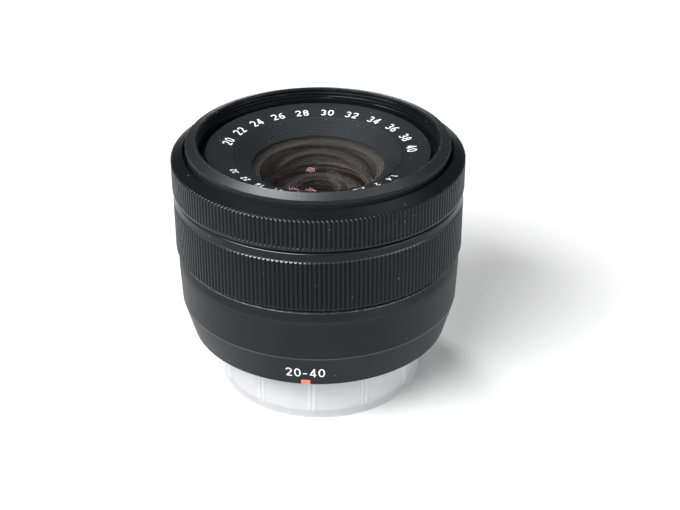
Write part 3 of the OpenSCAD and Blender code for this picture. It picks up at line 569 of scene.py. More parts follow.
# %% [markdown]
# ## Rear cover
# The lower shell is smooth: nearly a cylinder, then a sharp crease, then a cone down to the mount. Its upper
# edge, which rubs against fingers and bags, shows bare pale nicks. Real edges always have a small radius
# that catches the light. A Bevel modifier could give them one after the turning. Here a tool rounds each
# corner of the outline first, by its own amount: very little at the crease, much at the shoulder above it.

# %% Rounded outlines
TURN_STEPS = 320
LONGEST_ROUNDING = 0.45


def rounded(corners, steps=6):
    """An outline from (radius, height, rounding) corners, each rounding drawn as a short curve. It takes at
    most LONGEST_ROUNDING of the edges beside it."""
    points = []
    for k, (radius, height, rounding) in enumerate(corners):
        here = Vector((radius, height))
        before = Vector(corners[k - 1][:2]) - here
        after = Vector(corners[(k + 1) % len(corners)][:2]) - here
        reach = min(rounding, LONGEST_ROUNDING * before.length, LONGEST_ROUNDING * after.length)
        start = here + before.normalized() * reach
        end = here + after.normalized() * reach
        for s in range(steps + 1 if rounding else 1):
            t = s / steps
            points.append(tuple(start * (1 - t) ** 2 + here * 2 * t * (1 - t) + end * t * t))
    return points


def columns(count):
    """Even angles round a full turn, with no ribs."""
    return [(FULL_TURN * k / count, 0.0) for k in range(count)]


# %% Rear cover outline
cover = span("rear_cover")
flange = span("mount_flange")
COVER_OUT = cover.radius + 0.3
COVER_FOOT = cover.radius - 2.2
COVER_CREASE = cover.radius - 0.1
COVER_BASE = cover.bottom - 0.25
CREASE_HEIGHT = 7.6
SHOULDER = cover.top - 2.3
COVER_INSIDE = cover.radius - 1.8
BARREL_SEAT = span("fixed_barrel").radius + 0.05
BARREL_SEAT_FOOT = cover.top - 1.5
FLANGE_SEAT = flange.radius + 0.05
LIP_INSIDE = flange.radius - 1.6
LIP_TOP = flange.top + 0.8

cover_outside = [(FLANGE_SEAT, COVER_BASE, 0), (COVER_FOOT, COVER_BASE, 0.12),
                 (COVER_CREASE, CREASE_HEIGHT, 0.2), (COVER_OUT, SHOULDER, 1.0),
                 (cover.radius - 0.35, cover.top - 0.02, 0.2)]
cover_inside = [(BARREL_SEAT, cover.top, 0.1), (BARREL_SEAT, BARREL_SEAT_FOOT, 0),
                (COVER_INSIDE, BARREL_SEAT_FOOT, 0), (COVER_INSIDE, CREASE_HEIGHT + 0.8, 0),
                (flange.radius + 0.7, LIP_TOP, 0), (LIP_INSIDE, LIP_TOP, 0),
                (LIP_INSIDE, flange.top, 0), (FLANGE_SEAT, flange.top, 0)]
print("rear cover across its shoulder in mm:", round(2 * COVER_OUT, 2))

# %% Rear cover finish and mesh
def close_to(w, value, level, near, far):
    """1 where a value is within near of a level, falling to 0 at far."""
    return 1 - rise(w, w.maths("ABSOLUTE", value - level), near, far)


def rubbed_cover(w):
    """Pale nicks of wear along the upper edge of the cover, a thin polished line with a painted highlight on
    its crease and a faint painted highlight on its shoulder."""
    at = round_axis(w)
    nicks = 0.35 + 0.65 * rise(w, noise(w, size=0.6, detail=4.0), 0.42, 0.6)
    upper_edge = rise(w, at.height, cover.top - 0.35, cover.top - 0.15) * nicks
    crease = close_to(w, at.height, CREASE_HEIGHT, 0.06, 0.2)
    shoulder = close_to(w, at.height, SHOULDER, 0.1, 0.5)
    # The nicks are wear; the crease and shoulder lines are painted highlights
    return upper_edge * 0.65 + crease * (0.2 + 0.16 * noise(w, size=1.5)) + shoulder * 0.03


cover_finish = black_plastic("rear_cover_black", (0.0066, 0.0072, 0.0078), roughness=0.46, grain=0.12,
                             depth=0.003, specks=0.03, gloss=0.19, wear_and_highlights=rubbed_cover)
cover_shell = piece_from(turned(rounded(cover_outside + cover_inside), columns(TURN_STEPS)), "cover_shell",
                         "lens_body", "cover_plastic", cover_finish)
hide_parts("rear_cover")

# %% [markdown]
# ## Filter ring
# The front rim is one turned ring: a broad slope outside, a screw thread for filters inside. A thread is a
# groove that climbs by one pitch for each turn, so the outline's groove heights move with the angle, and the
# ends meet again because a whole pitch has gone by.

# %% Filter ring outline
rim = span("filter_ring")
name_plate = span("name_ring")
THREAD_PITCH = 0.75
THREAD_CREST = 25.6
THREAD_DEPTH = 0.4
THREAD_FLANK = 0.36
THREAD_ROWS = 18
THREAD_FADE = 4
FRONT_BARREL_OUT = span("front_barrel").radius
FRONT_BARREL_IN = FRONT_BARREL_OUT - 1.1
SPIGOT_RADIUS = FRONT_BARREL_IN - 0.05
SPIGOT_TOP = rim.top - 3.4
RIM_WALL_FOOT = rim.top - 1.9
SLOPE_FOOT = rim.top - 0.8
NAME_TOP = name_plate.top
PLATE_EDGE = name_plate.radius - 0.9
PLATE_SEAT = PLATE_EDGE + 0.1
GROOVE_FLOOR = NAME_TOP - 1.6
RIM_BASE = GROOVE_FLOOR - 0.3
THREAD_TOP = rim.top - 0.3
THREAD_BOTTOM = NAME_TOP - 0.2

rim_outside = rounded([(PLATE_SEAT, RIM_BASE, 0), (SPIGOT_RADIUS, RIM_BASE, 0),
                       (SPIGOT_RADIUS, SPIGOT_TOP, 0), (FRONT_BARREL_OUT, SPIGOT_TOP, 0),
                       (FRONT_BARREL_OUT, RIM_WALL_FOOT, 0), (rim.radius, RIM_WALL_FOOT, 0.1),
                       (rim.radius, SLOPE_FOOT, 0.08), (THREAD_CREST + 0.5, rim.top, 0.16),
                       (THREAD_CREST + 0.32, rim.top - 0.08, 0.05)])


def groove_share(turns):
    """Depth of the thread, 0 on its crest and 1 at its root, for a place counted in pitches."""
    phase = turns % 1.0
    return max(0.0, 1 - abs(phase - 0.5) / THREAD_FLANK)


def rim_outline(angle, depth):
    """Outline of the filter ring at an angle. The thread fades out towards both ends."""
    wall = []
    for i in range(THREAD_ROWS + 1):
        height = THREAD_TOP + (THREAD_BOTTOM - THREAD_TOP) * i / THREAD_ROWS
        fade = min(1.0, THREAD_FADE * i / THREAD_ROWS, THREAD_FADE * (THREAD_ROWS - i) / THREAD_ROWS)
        turns = height / THREAD_PITCH - angle / FULL_TURN
        wall.append((THREAD_CREST + THREAD_DEPTH * groove_share(turns) * fade, height))
    return rim_outside + wall + [(THREAD_CREST, GROOVE_FLOOR), (PLATE_SEAT, GROOVE_FLOOR)]


print("turns of the thread:", round((THREAD_TOP - THREAD_BOTTOM) / THREAD_PITCH, 1))

# %% Filter ring finish and mesh
def rubbed_rim(w):
    """Rubbed places along the inner and the outer edge of the slope."""
    at = round_axis(w)
    outside = rise(w, at.radius, rim.radius - 0.1, rim.radius)
    outer_edge = outside * rise(w, at.height, rim.top - 0.95, rim.top - 0.85)
    inner_edge = rise(w, at.height, rim.top - 0.16, rim.top - 0.02)
    return (inner_edge + outer_edge) * rise(w, noise(w, size=1.6), 0.4, 0.8) * 0.35


def smooth_slope(w):
    """The slope itself, which is smoother than the wall below it and the thread inside."""
    at = round_axis(w)
    outside_thread = rise(w, at.radius, THREAD_CREST + 0.3, THREAD_CREST + 0.5)
    above_wall = rise(w, at.height, rim.top - 0.85, rim.top - 0.75)
    return outside_thread * above_wall * 0.9


rim_finish = black_plastic("filter_ring_black", (0.006, 0.0063, 0.0066), roughness=0.32, grain=0.14,
                           wear_and_highlights=rubbed_rim, polish=smooth_slope, polish_roughness=0.32)
filter_rim = piece_from(turned(rim_outline, columns(TURN_STEPS)), "filter_rim", "front_body",
                        "black_plastic", rim_finish)
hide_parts("filter_ring")

# %% [markdown]
# ## Name ring and stepped cone
# Inside the rim lies a dished black ring, and inside that a cone cut with fine grooves, which keep stray
# light off the glass. Dark lines in the material would stay flat when the light moves. The grooves are
# modelled, because they draw the thin dark circles that the eye takes for depth.

# %% Name ring
CONE_TOP_RADIUS = 18.0
CONE_TOP = NAME_TOP - 0.95
NAME_INSIDE = CONE_TOP_RADIUS + 0.1
NAME_BASE = CONE_TOP - 0.9

name_corners = [(NAME_INSIDE, NAME_BASE, 0), (PLATE_EDGE, NAME_BASE, 0),
                (PLATE_EDGE, NAME_TOP, 0.12), (NAME_INSIDE, CONE_TOP, 0.08)]
name_finish = black_plastic("name_ring_black", (0.0105, 0.0112, 0.0117), roughness=0.38, grain=0.1,
                            depth=0.003, specks=0.12, gloss=0.3)
name_face = piece_from(turned(rounded(name_corners), columns(TURN_STEPS)), "name_face", "front_body",
                       "black_plastic", name_finish)
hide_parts("name_ring")

# %% Stepped cone
cone = span("front_baffle")
CONE_LOW_RADIUS = 14.2
CONE_LOW = NAME_TOP - 3.6
CONE_STEPS = 9
STEP_RUN = (CONE_TOP_RADIUS - CONE_LOW_RADIUS) / CONE_STEPS
STEP_DROP = (CONE_TOP - CONE_LOW) / CONE_STEPS
TREAD_SHARE = 0.66
GROOVE_DEPTH = 0.24
GLASS_SEAT = span("front_element").radius - 0.05

cone_corners = [(CONE_LOW_RADIUS, cone.bottom, 0.05), (GLASS_SEAT, cone.bottom, 0),
                (GLASS_SEAT, rim.bottom, 0), (CONE_TOP_RADIUS, rim.bottom, 0)]
for i in range(CONE_STEPS):
    edge = CONE_TOP_RADIUS - STEP_RUN * i
    level = CONE_TOP - STEP_DROP * i
    tread_end = level - TREAD_SHARE * STEP_DROP
    cone_corners += [(edge, level, 0.04), (edge - TREAD_SHARE * STEP_RUN, tread_end, 0.04),
                     (edge - 0.7 * STEP_RUN, tread_end - GROOVE_DEPTH, 0),
                     (edge - 0.9 * STEP_RUN, level - STEP_DROP - 0.5 * GROOVE_DEPTH, 0)]
cone_corners.append((CONE_LOW_RADIUS, CONE_LOW, 0.05))
cone_finish = black_plastic("cone_charcoal", (0.019, 0.0207, 0.022), roughness=0.6, grain=0.1, specks=0.04)
stepped_cone = piece_from(turned(rounded(cone_corners, 2), columns(TURN_STEPS)), "stepped_cone", "front_body",
                          "baffle_plastic", cone_finish)
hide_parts("front_baffle")

# %% [markdown]
# ## Glass
# A lens element is a disc with two ball-shaped faces. Its ground edge is painted dark, and its faces carry a
# coating that weakens reflections and tints what is left, so a lamp shows as a small pink or green spot.
# Real refraction needs a closed solid, so each element is turned as one. Light from lamps is let through by
# a mix with a clear shader for shadow rays, or the cells behind the glass would stay dark.

# %% Mixed shaders
def blended(w, share, first, second):
    """A shader between two, by a share from 0 to 1."""
    return w.node("MixShader", {}, {0: share, 1: first, 2: second})


def show(w, shader):
    """Makes a shader the one that the material shows."""
    w.tree.links.new(shader.socket, w.tree.nodes["Material Output"].inputs["Surface"])


# %% Coated glass and edge paint
GLASS_CLEAR = (0.99, 0.985, 0.97, 1)
GLASS_SHADOW = (0.95, 0.94, 0.92, 1)
GLASS_DUST = (0.5, 0.48, 0.45, 1)
GLASS_INDEX = 1.55
SMEAR_ROUGHNESS = 0.004
TURNING_LINES = 10


def coated_glass(name, reflection):
    """Clear glass with a tinted reflection, faint smears and specks of dust."""
    material, w, shader = new_finish(name, Base_Color=GLASS_CLEAR, IOR=GLASS_INDEX, Transmission_Weight=1.0,
                                     Specular_Tint=tint(reflection))
    drive(shader, Roughness=SMEAR_ROUGHNESS * noise(w, size=6.0))
    dusty = w.node("BsdfDiffuse", {}, {"Color": GLASS_DUST})
    clear = w.node("BsdfTransparent", {}, {"Color": GLASS_SHADOW})
    speckled = blended(w, lint(w, spacing=0.8, share=0.06), Wire(w.tree, shader.outputs[0]), dusty)
    show(w, blended(w, w.node("LightPath", output="Is Shadow Ray"), speckled, clear))
    return material


def edge_paint(name, shade):
    """Matt paint on the ground edge of a lens element, with turning lines."""
    material, w, shader = new_finish(name, Specular_IOR_Level=0.3)
    cloud = noise(w, size=1.2)
    wave = w.maths("SINE", round_axis(w).radius * TURNING_LINES + 2 * noise(w, size=4.0))
    turning = rise(w, wave, -0.2, 1.0) * 0.8 + 0.25 * cloud
    drive(shader, Base_Color=mixed(w, turning, tint(shade, 0.12), tint(shade)),
          Roughness=0.55 + 0.2 * cloud, Normal=bumped(w, noise(w, size=0.15), depth=0.005))
    return material


rose_glass = coated_glass("rose_coated_glass", (0.38, 0.1, 0.19))
green_glass = coated_glass("green_coated_glass", (0.1, 0.18, 0.2))
rim_paint = edge_paint("lens_edge_paint", (0.068, 0.0634, 0.0533))

# %% Outline of an element
DOME_STEPS = 28
FACE_INSET = 0.15
EDGE_BEVEL = 0.1


def face_arc(radius, level, sag):
    """Points of a ball-shaped face from its rim to the axis. A positive sag puts the middle above the rim, a
    negative one below it."""
    ball = (radius * radius + sag * sag) / (2 * abs(sag))
    points = []
    for i in range(DOME_STEPS + 1):
        r = radius * (1 - i / DOME_STEPS)
        points.append((r, level + math.copysign(math.sqrt(ball * ball - r * r) - (ball - abs(sag)), sag)))
    return points


def element_outline(one):
    """Outline of an element from the middle of its back, round its edge, to the middle of its front."""
    size = span(one.node)
    low = size.bottom + max(one.back, 0)
    high = size.top - max(one.front, 0)
    back_rim = size.radius - (one.hollow_rim if one.back < 0 else FACE_INSET)
    front_rim = size.radius - (one.hollow_rim if one.front < 0 else FACE_INSET)
    back_face = face_arc(back_rim, low, -one.back)
    front_face = face_arc(front_rim, high, one.front)
    edge = [(size.radius, low + EDGE_BEVEL), (size.radius, high - EDGE_BEVEL)]
    return back_face[::-1] + edge + front_face


# %% Lens elements
GLASS_STEPS = 160
# Front and back say how far a face bulges in millimetres. A face below 0 is hollow, with a flat rim round it
Element = namedtuple("Element", "node body front back hollow_rim")
elements = [Element("front_element", "front_body", front=2.2, back=-4.2, hollow_rim=3.5),
            Element("front_doublet", "front_body", front=-1.2, back=-0.6, hollow_rim=1.2),
            Element("fourth_element", "group_body", front=0.8, back=-0.3, hollow_rim=1.0),
            Element("shift_element", "shift_y_body", front=0.6, back=-0.3, hollow_rim=1.0),
            Element("focus_element", "focus_body", front=-0.5, back=-0.4, hollow_rim=1.0),
            Element("rear_element", "lens_body", front=1.2, back=-0.6, hollow_rim=1.0),
            Element("field_element", "lens_body", front=-0.6, back=0.8, hollow_rim=1.9)]


def lens_glass(one, glass, paint):
    """Turns an element and paints what lies outside its two faces."""
    outline = element_outline(one)
    edge_steps = range(DOME_STEPS, len(outline) - DOME_STEPS - 1)
    bm = turned(outline, columns(GLASS_STEPS), edge_steps)
    piece = piece_from(bm, one.node + "_glass", one.body, "glass", glass, paint)
    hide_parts(one.node)


# Every third element has the green coating
for k, one in enumerate(elements, start=1):
    lens_glass(one, rose_glass if k % 3 else green_glass, rim_paint)

# %% [markdown]
# ## Light rings behind the glass
# Looking into a lens one sees nested rings: the cells and stops are cut into steps so that no smooth wall
# shines. Their treads are dark, and their turned edges are brighter by a painted highlight. These rings sit
# on the frame of the second group, where the frame is plain.

# %% Light rings outline
FRAME_PLATE = span("fourth_element").bottom
RING_OUT = 13.2
RING_IN = 7.75
RING_BASE = FRAME_PLATE + 0.02
FIRST_TREAD = FRAME_PLATE + 0.3
TREAD_RISE = 0.16
TREAD_WIDTH = 0.9
LIGHT_RINGS = 9
RING_STEP = (RING_OUT - RING_IN) / LIGHT_RINGS

ring_corners = [(RING_IN, RING_BASE, 0), (RING_OUT, RING_BASE, 0)]
for i in range(LIGHT_RINGS):
    level = FIRST_TREAD + TREAD_RISE * i
    ring_corners += [(RING_OUT - RING_STEP * i, level, 0.06),
                     (RING_OUT - RING_STEP * (i + TREAD_WIDTH), level, 0.06)]
print("light rings, each in mm:", round(RING_STEP, 2))

# %% Light rings finish and mesh
def ring_edges(w):
    """The turned edge of each light ring, made brighter than its tread as a painted highlight."""
    across = w.maths("FRACT", (RING_OUT - round_axis(w).radius) * (1 / RING_STEP))
    # Painted highlight along each ring's turned edge
    return (1 - rise(w, across, 0.1, 0.25)) * 0.5


ring_finish = black_plastic("light_ring_brown", (0.026, 0.024, 0.0205), roughness=0.45, grain=0.1,
                            depth=0.003, specks=0.02, wear_and_highlights=ring_edges)
piece_from(turned(rounded(ring_corners, 3), columns(TURN_STEPS)), "light_rings", "group_body",
           "inner_plastic", ring_finish)

# %% [markdown]
# ## Rear cap
# The cap is a cup of milky plastic, about a millimetre thick, with pairs of fine grip ribs. Light passes
# through it and scatters, so it glows a little from the floor behind. Real scattering inside the wall would
# be slow to render. Here a glossy plastic is mixed with a translucent shader, and then with a clear one that
# lets the things behind show faintly, less so at the thicker ribs.

# %% Milky plastic
cap = span("rear_cap")
CAP_RADIUS = 22.5
MILK_DARK = (0.94, 0.96, 0.975, 1)
MILK_LIGHT = (0.965, 0.98, 0.99, 1)
MILK_THROUGH = (0.98, 0.988, 0.993, 1)
MILK_CLEAR = (0.99, 0.992, 0.995, 1)


def milky_plastic():
    """Milky plastic that scatters some light, passes some on and lets some straight through."""
    material, w, shader = new_finish("milky_cap", Specular_IOR_Level=0.4)
    cloud = noise(w, size=7.0)
    fine = noise(w, size=0.3)
    drive(shader, Base_Color=mixed(w, cloud, MILK_DARK, MILK_LIGHT), Roughness=0.32 + 0.16 * fine,
          Normal=bumped(w, fine, depth=0.004))
    through = w.node("BsdfTranslucent", {}, {"Color": MILK_THROUGH})
    clear = w.node("BsdfTransparent", {}, {"Color": MILK_CLEAR})
    milk = blended(w, 0.5, Wire(w.tree, shader.outputs[0]), through)
    thin = 1 - 0.28 * rise(w, round_axis(w).radius, CAP_RADIUS + 0.03, CAP_RADIUS + 0.12)
    show(w, blended(w, (0.36 + 0.16 * cloud) * thin, milk, clear))
    return material


cap_finish = milky_plastic()

# %% Rear cap mesh
CAP_BORE = 21.6
CAP_RIB_PAIRS = 12
CAP_RIB_SPACE = 0.5
CAP_RIB_HEIGHT = cap.radius - CAP_RADIUS
CAP_RIB_SHAPE = ((-0.3, 0), (-0.19, 0.75), (-0.1, 1), (0.1, 1), (0.19, 0.75), (0.3, 0))
CAP_TURN = math.radians(-88.8)
CAP_WALL_STEPS = 12
PAIR_HALF_TURN = 0.04
CAP_HOLLOW = cap.bottom + 0.25
CAP_FLOOR = cap.bottom + 1


def cap_columns():
    """Angles round the cap, with the slopes and tops of its ribs, each with its rib height from 0 to 1."""
    found = []
    pair_turn = FULL_TURN / CAP_RIB_PAIRS
    wall_turn = pair_turn - 2 * PAIR_HALF_TURN
    for pair in range(CAP_RIB_PAIRS):
        middle = CAP_TURN + pair * pair_turn
        for side in (-CAP_RIB_SPACE, CAP_RIB_SPACE):
            found += [(middle + (side + offset) / CAP_RADIUS, height) for offset, height in CAP_RIB_SHAPE]
        for k in range(1, CAP_WALL_STEPS):
            found.append((middle + PAIR_HALF_TURN + wall_turn * k / CAP_WALL_STEPS, 0))
    return found


def cap_outline(angle, height):
    """Outline of the cap where its wall carries a share of a rib's height."""
    proud = CAP_RADIUS + CAP_RIB_HEIGHT * height
    rim_and_rib = [(CAP_BORE, cap.top), (CAP_BORE + 0.15, cap.top), (CAP_RADIUS - 0.15, cap.top),
                   (CAP_RADIUS, cap.top - 0.15), (proud, cap.top - 0.35), (proud, cap.bottom + 2.6)]
    foot = rounded([(CAP_RADIUS, cap.top, 0), (CAP_RADIUS, cap.bottom + 2, 0), (CAP_RADIUS, cap.bottom, 2),
                    (18.6, cap.bottom, 0.2), (18.3, CAP_HOLLOW, 0.2), (0, CAP_HOLLOW, 0),
                    (0, CAP_FLOOR, 0), (CAP_BORE, CAP_FLOOR, 1.1)])
    return rim_and_rib + foot[1:]


cap_cup = piece_from(turned(cap_outline, cap_columns()), "cap_cup", "cap_body", "cap_plastic", cap_finish)
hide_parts("rear_cap")

# %% [markdown]
# ## Printed numbers and the index mark
# Numbers on a lens are pad printed: a film of paint that follows the curved surface. A text object lies flat
# and has to be bent afterwards. So each number is drawn here with a few strokes, as an engraver's stencil
# would be: lines and arcs in a box one unit high. A stroke becomes a flat ribbon, and each of its points is
# then laid on the surface.

# %% Lines and arcs
ARC_STEP = 14
LINE_STEPS = 4


def arc(x, y, half_width, half_height, start, end):
    """Points of a part of an ellipse, with its angles in degrees."""
    steps = 2 + int(abs(end - start) / ARC_STEP)
    turns = [math.radians(start + (end - start) * k / steps) for k in range(steps + 1)]
    return [(x + half_width * math.cos(t), y + half_height * math.sin(t)) for t in turns]


def line(*points):
    """Points along a straight path, close enough together to bend round a ring."""
    found = [points[0]]
    for (x0, y0), (x1, y1) in zip(points, points[1:]):
        found += [(x0 + (x1 - x0) * k / LINE_STEPS, y0 + (y1 - y0) * k / LINE_STEPS)
                  for k in range(1, LINE_STEPS + 1)]
    return found


STROKES = {
    "0": [arc(0.3, 0.5, 0.23, 0.43, 90, 450)],
    "1": [line((0.13, 0.74), (0.33, 0.92)), line((0.33, 1.0), (0.33, 0.0))],
    "2": [arc(0.29, 0.69, 0.22, 0.24, 165, -32) + line((0.42, 0.48), (0.09, 0.09)),
          line((0.05, 0.07), (0.55, 0.07))],
    "3": [arc(0.28, 0.71, 0.2, 0.22, 150, -90), arc(0.28, 0.28, 0.23, 0.21, 90, -150)],
    "4": [line((0.42, 0.0), (0.42, 1.0)), line((0.4, 0.94), (0.06, 0.28)), line((0.02, 0.26), (0.58, 0.26))],
    "5": [line((0.51, 0.93), (0.12, 0.93)), line((0.14, 0.93), (0.11, 0.5)),
          arc(0.28, 0.31, 0.24, 0.24, 130, -145)],
    "6": [arc(0.3, 0.29, 0.22, 0.22, 0, 360), arc(0.55, 0.32, 0.47, 0.62, 100, 175)],
    "8": [arc(0.3, 0.72, 0.18, 0.21, 0, 360), arc(0.3, 0.285, 0.22, 0.215, 0, 360)],
    "-": [line((0.12, 0.4), (0.46, 0.4))],
    ".": [line((0.2, 0.07), (0.32, 0.07))],
}
print("signs in the stencil:", "".join(STROKES))

# %% Ribbons on a surface
PRINT_THICK = 0.02
SAME_POINT = 1e-6


def ribbon(bm, points, half, lay, thick):
    """A flat closed ribbon along points, with half its width to each side."""
    loops = (Vector(points[0]) - Vector(points[-1])).length < SAME_POINT
    befores = [points[-2] if loops else points[0]] + points[:-1]
    afters = points[1:] + [points[1] if loops else points[-1]]
    rows = []
    for point, before, after in zip(points, befores, afters):
        along = (Vector(after) - Vector(before)).normalized() * half
        left = (point[0] - along.y, point[1] + along.x)
        right = (point[0] + along.y, point[1] - along.x)
        rows.append([bm.verts.new(lay(x, y, t) * MM) for (x, y), t in
                     ((left, thick), (right, thick), (right, -thick), (left, -thick))])
    for here, following in zip(rows, rows[1:]):
        for i in range(len(here)):
            j = (i + 1) % len(here)
            bm.faces.new((here[i], following[i], following[j], here[j]))
    if not loops:
        bm.faces.new(rows[0])
        bm.faces.new(rows[-1][::-1])


def on_ring(turn, base_radius):
    """Lays print on the dished name ring, with its foot towards the middle."""
    dish = (NAME_TOP - CONE_TOP) / (PLATE_EDGE - NAME_INSIDE)

    def lay(x, y, thick):
        radius = base_radius + y
        angle = turn - x / (base_radius + 1)
        height = CONE_TOP + (radius - NAME_INSIDE) * dish + thick
        return Vector((radius * math.cos(angle), radius * math.sin(angle), height))
    return lay


def on_cover(foot):
    """Lays print on the cone of the rear cover, in front."""
    widening = (COVER_CREASE - COVER_FOOT) / (CREASE_HEIGHT - COVER_BASE)

    def lay(x, y, thick):
        height = foot + y
        radius = COVER_FOOT + (height - COVER_BASE) * widening + thick
        angle = -math.pi / 2 + x / COVER_FOOT
        return Vector((radius * math.cos(angle), radius * math.sin(angle), height))
    return lay


# %% Print paint
def print_paint(name, thin, full, patch_size, roughness, spread, gloss):
    """A film of printing paint with thinner patches. Spread is how much duller it is where it is full."""
    material, w, shader = new_finish(name, Specular_IOR_Level=gloss)
    patch = noise(w, patch_size)
    drive(shader, Base_Color=mixed(w, patch, thin, full), Roughness=roughness + spread * patch)
    return material


white_print = print_paint("white_print", (0.7, 0.72, 0.73, 1), (0.9, 0.91, 0.92, 1), patch_size=0.4,
                          roughness=0.45, spread=0.2, gloss=0.3)
index_paint = print_paint("index_orange", (0.85, 0.16, 0.07, 1), (0.95, 0.24, 0.12, 1), patch_size=0.5,
                          roughness=0.4, spread=0.15, gloss=0.35)

# %% Numbers
NARROW = {"-": 0.62, ".": 0.5}
WIDE = 0.76
STROKE_BOX = 0.6
STROKE_LIFT = 0.002
PRINT_RADIUS = 18.95
# A scale is centred on the angle middle, and its numbers are spread degrees apart
Scale = namedtuple("Scale", "middle numbers spread height weight")
FAR_NUMBERS = [str(number) for number in range(20, 42, 2)]
NEAR_NUMBERS = ["1.4", "2", "2.8", "4", "5.6", "8", "11", "16", "22", "32"]


def printed(name, words, height, weight, lay, body, narrowing=1.0):
    """A line of numbers, height millimetres tall, with strokes of a weight in parts of the height. Strokes of
    one sign differ a little in thickness, so that no two faces lie in the same place where they cross."""
    bm = bmesh.new()
    start = -sum(NARROW.get(letter, WIDE) for letter in words) / 2
    for letter in words:
        gap = 0 if letter in NARROW else (WIDE - STROKE_BOX) / 2
        for k, stroke in enumerate(STROKES[letter]):
            points = [((start + gap + x) * height * narrowing, y * height) for x, y in stroke]
            ribbon(bm, points, weight * height / 2, lay, PRINT_THICK + STROKE_LIFT * k)
        start += NARROW.get(letter, WIDE)
    piece_from(bm, name, body, None, white_print)


for scale in (Scale(90, FAR_NUMBERS, spread=16.2, height=2.2, weight=0.14),
              Scale(270, NEAR_NUMBERS, spread=12.5, height=1.5, weight=0.13)):
    for k, number in enumerate(scale.numbers):
        turn = math.radians(scale.middle + scale.spread * ((len(scale.numbers) - 1) / 2 - k))
        printed("ring_%d_number_%d" % (scale.middle, k + 1), number, scale.height, scale.weight,
                on_ring(turn, PRINT_RADIUS), "front_body")
printed("cover_numbers", "20-40", height=2.5, weight=0.11, lay=on_cover(foot=2.3), body="lens_body",
        narrowing=0.92)

# %% Index mark
MARK_HALF_WIDTH = 0.95
MARK_FOOT = 0.08
MARK_HEIGHT = 1.32
PLATE_ROWS = 2


def curved_plate(lay, half_width, low, high, steps=10):
    """A thin closed plate that lies on a surface."""
    bm = bmesh.new()
    across = [half_width * (2 * i / steps - 1) for i in range(steps + 1)]
    up = [low + (high - low) * j / PLATE_ROWS for j in range(PLATE_ROWS + 1)]
    for thick in (PRINT_THICK, -PRINT_THICK):
        rows = [[bm.verts.new(lay(x, y, thick) * MM) for x in across] for y in up]
        for lower, upper in zip(rows, rows[1:]):
            for i in range(steps):
                bm.faces.new((lower[i], lower[i + 1], upper[i + 1], upper[i]))
    bmesh.ops.bridge_loops(bm, edges=[edge for edge in bm.edges if edge.is_boundary])
    return bm


piece_from(curved_plate(on_cover(COVER_BASE), MARK_HALF_WIDTH, MARK_FOOT, MARK_HEIGHT), "index_mark",
           "lens_body", None, index_paint)

# %% [markdown]
# ## Finishes of the pieces inside
# Cells, gears, motors and pins keep their construction meshes and get a finish that fits how they are made:
# moulded plastic with clouding, ground steel with fine lines along it, plated contacts, wound copper, a
# green board. One function for each kind of stuff is enough, because little but shade and roughness differs.

# %% Metal and engineering plastic
SHADE_DARK = 0.75


def metal(name, shade, roughness, stretch=(1, 1, 0.05)):
    """Ground or drawn metal with fine lines along one direction."""
    material, w, shader = new_finish(name, Metallic=1.0)
    lines = noise(w, size=0.12, detail=2.0, stretch=stretch)
    drive(shader, Base_Color=mixed(w, noise(w, size=3.0), tint(shade, SHADE_DARK), tint(shade)),
          Roughness=roughness + 0.18 * (lines - 0.5), Normal=bumped(w, lines, depth=0.003))
    return material


def plain_plastic(name, shade, roughness):
    """Engineering plastic with clouding and a fine grain."""
    material, w, shader = new_finish(name, Specular_IOR_Level=0.4)
    fine = noise(w, size=0.1)
    drive(shader, Base_Color=mixed(w, noise(w, size=2.5), tint(shade, SHADE_DARK), tint(shade)),
          Roughness=roughness + 0.2 * (fine - 0.5), Normal=bumped(w, fine, depth=0.004))
    return material


# %% Board and striped films
TRACK_SPACING = 1.4
TRACK_WIDTH = 0.08
RESIST_GREEN = (0.01, 0.07, 0.03, 1)
TRACK_GREEN = (0.03, 0.16, 0.06, 1)


def board_finish():
    """Green solder resist with copper tracks under it."""
    material, w, shader = new_finish("green_board", Specular_IOR_Level=0.5)
    cells = w.node("TexVoronoi", {"feature": "DISTANCE_TO_EDGE"},
                   {"Vector": place(w), "Scale": 1 / (TRACK_SPACING * MM)})
    track = cells < TRACK_WIDTH
    drive(shader, Base_Color=mixed(w, track, RESIST_GREEN, TRACK_GREEN),
          Roughness=0.3 + 0.1 * noise(w, size=0.8), Normal=bumped(w, track, depth=0.02))
    return material


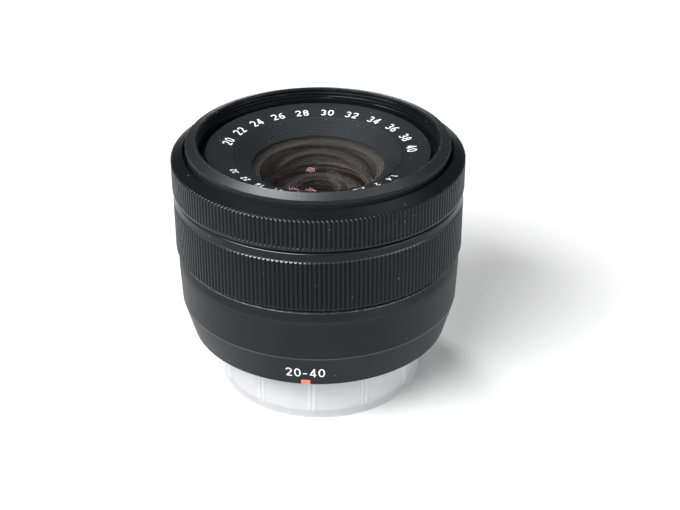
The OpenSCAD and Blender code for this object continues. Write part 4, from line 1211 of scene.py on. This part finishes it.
def striped_film(name, dark, light, per_turn):
    """A film with even stripes round the lens axis."""
    material, w, shader = new_finish(name, Specular_IOR_Level=0.5)
    stripe = w.maths("SINE", round_axis(w).angle * per_turn) > 0
    drive(shader, Base_Color=mixed(w, stripe, dark, light), Roughness=0.3 + 0.15 * noise(w, size=0.5))
    return material


# %% Finish every other node
finishes = {
    black_plastic("barrel_black", (0.0135, 0.014, 0.015), roughness=0.4, grain=0.2): [
        "middle_barrel", "front_barrel"],
    black_plastic("mount_black", (0.018, 0.018, 0.019), roughness=0.36): ["mount_flange"],
    black_plastic("inner_black", (0.012, 0.012, 0.012), roughness=0.62, depth=0.006): [
        "contact_block", "rear_baffle", "chassis", "fixed_barrel", "ring_spacer", "rear_cell", "cam_barrel",
        "group_frame", "iris_base", "iris_drive_ring", "shift_slider", "shift_cell", "focus_carriage"],
    black_plastic("cell_brown", (0.04, 0.037, 0.0315), roughness=0.55, specks=0.02): ["front_cell"],
    plain_plastic("sensor_housing", (0.03, 0.03, 0.035), roughness=0.4): ["focus_sensor", "iris_motor"],
    black_plastic("blade_film", (0.02, 0.02, 0.021), roughness=0.45, specks=0.0): [
        "iris_blade_%d" % k for k in range(1, 8)],
    plain_plastic("gear_white", (0.75, 0.74, 0.68), roughness=0.42): ["cam_gear", "idler_gear"],
    metal("ground_steel", (0.62, 0.62, 0.63), roughness=0.3): [
        "mount_screws", "focus_clip", "zoom_spring", "zoom_motor", "focus_motor", "guide_rods", "middle_pins",
        "front_pins", "follower_pin", "lead_screw", "shift_magnets"],
    metal("plated_gold", (0.95, 0.68, 0.3), roughness=0.25): ["contact_pins", "zoom_brush", "motor_pinion"],
    metal("wound_copper", (0.85, 0.42, 0.22), roughness=0.4, stretch=(0.3, 0.3, 6)): ["shift_coils"],
    board_finish(): ["main_board"],
    striped_film("encoder_stripes", (0.02, 0.02, 0.02, 1), (0.6, 0.6, 0.62, 1), per_turn=360): [
        "encoder_strip"],
    striped_film("resistor_film", (0.1, 0.05, 0.02, 1), (0.14, 0.07, 0.03, 1), per_turn=40): ["zoom_sensor"],
}
for finish, names in finishes.items():
    for name in names:
        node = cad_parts[name]
        node.data.materials.clear()
        node.data.materials.append(finish)
    print(finish.name, "on", len(names), "nodes")
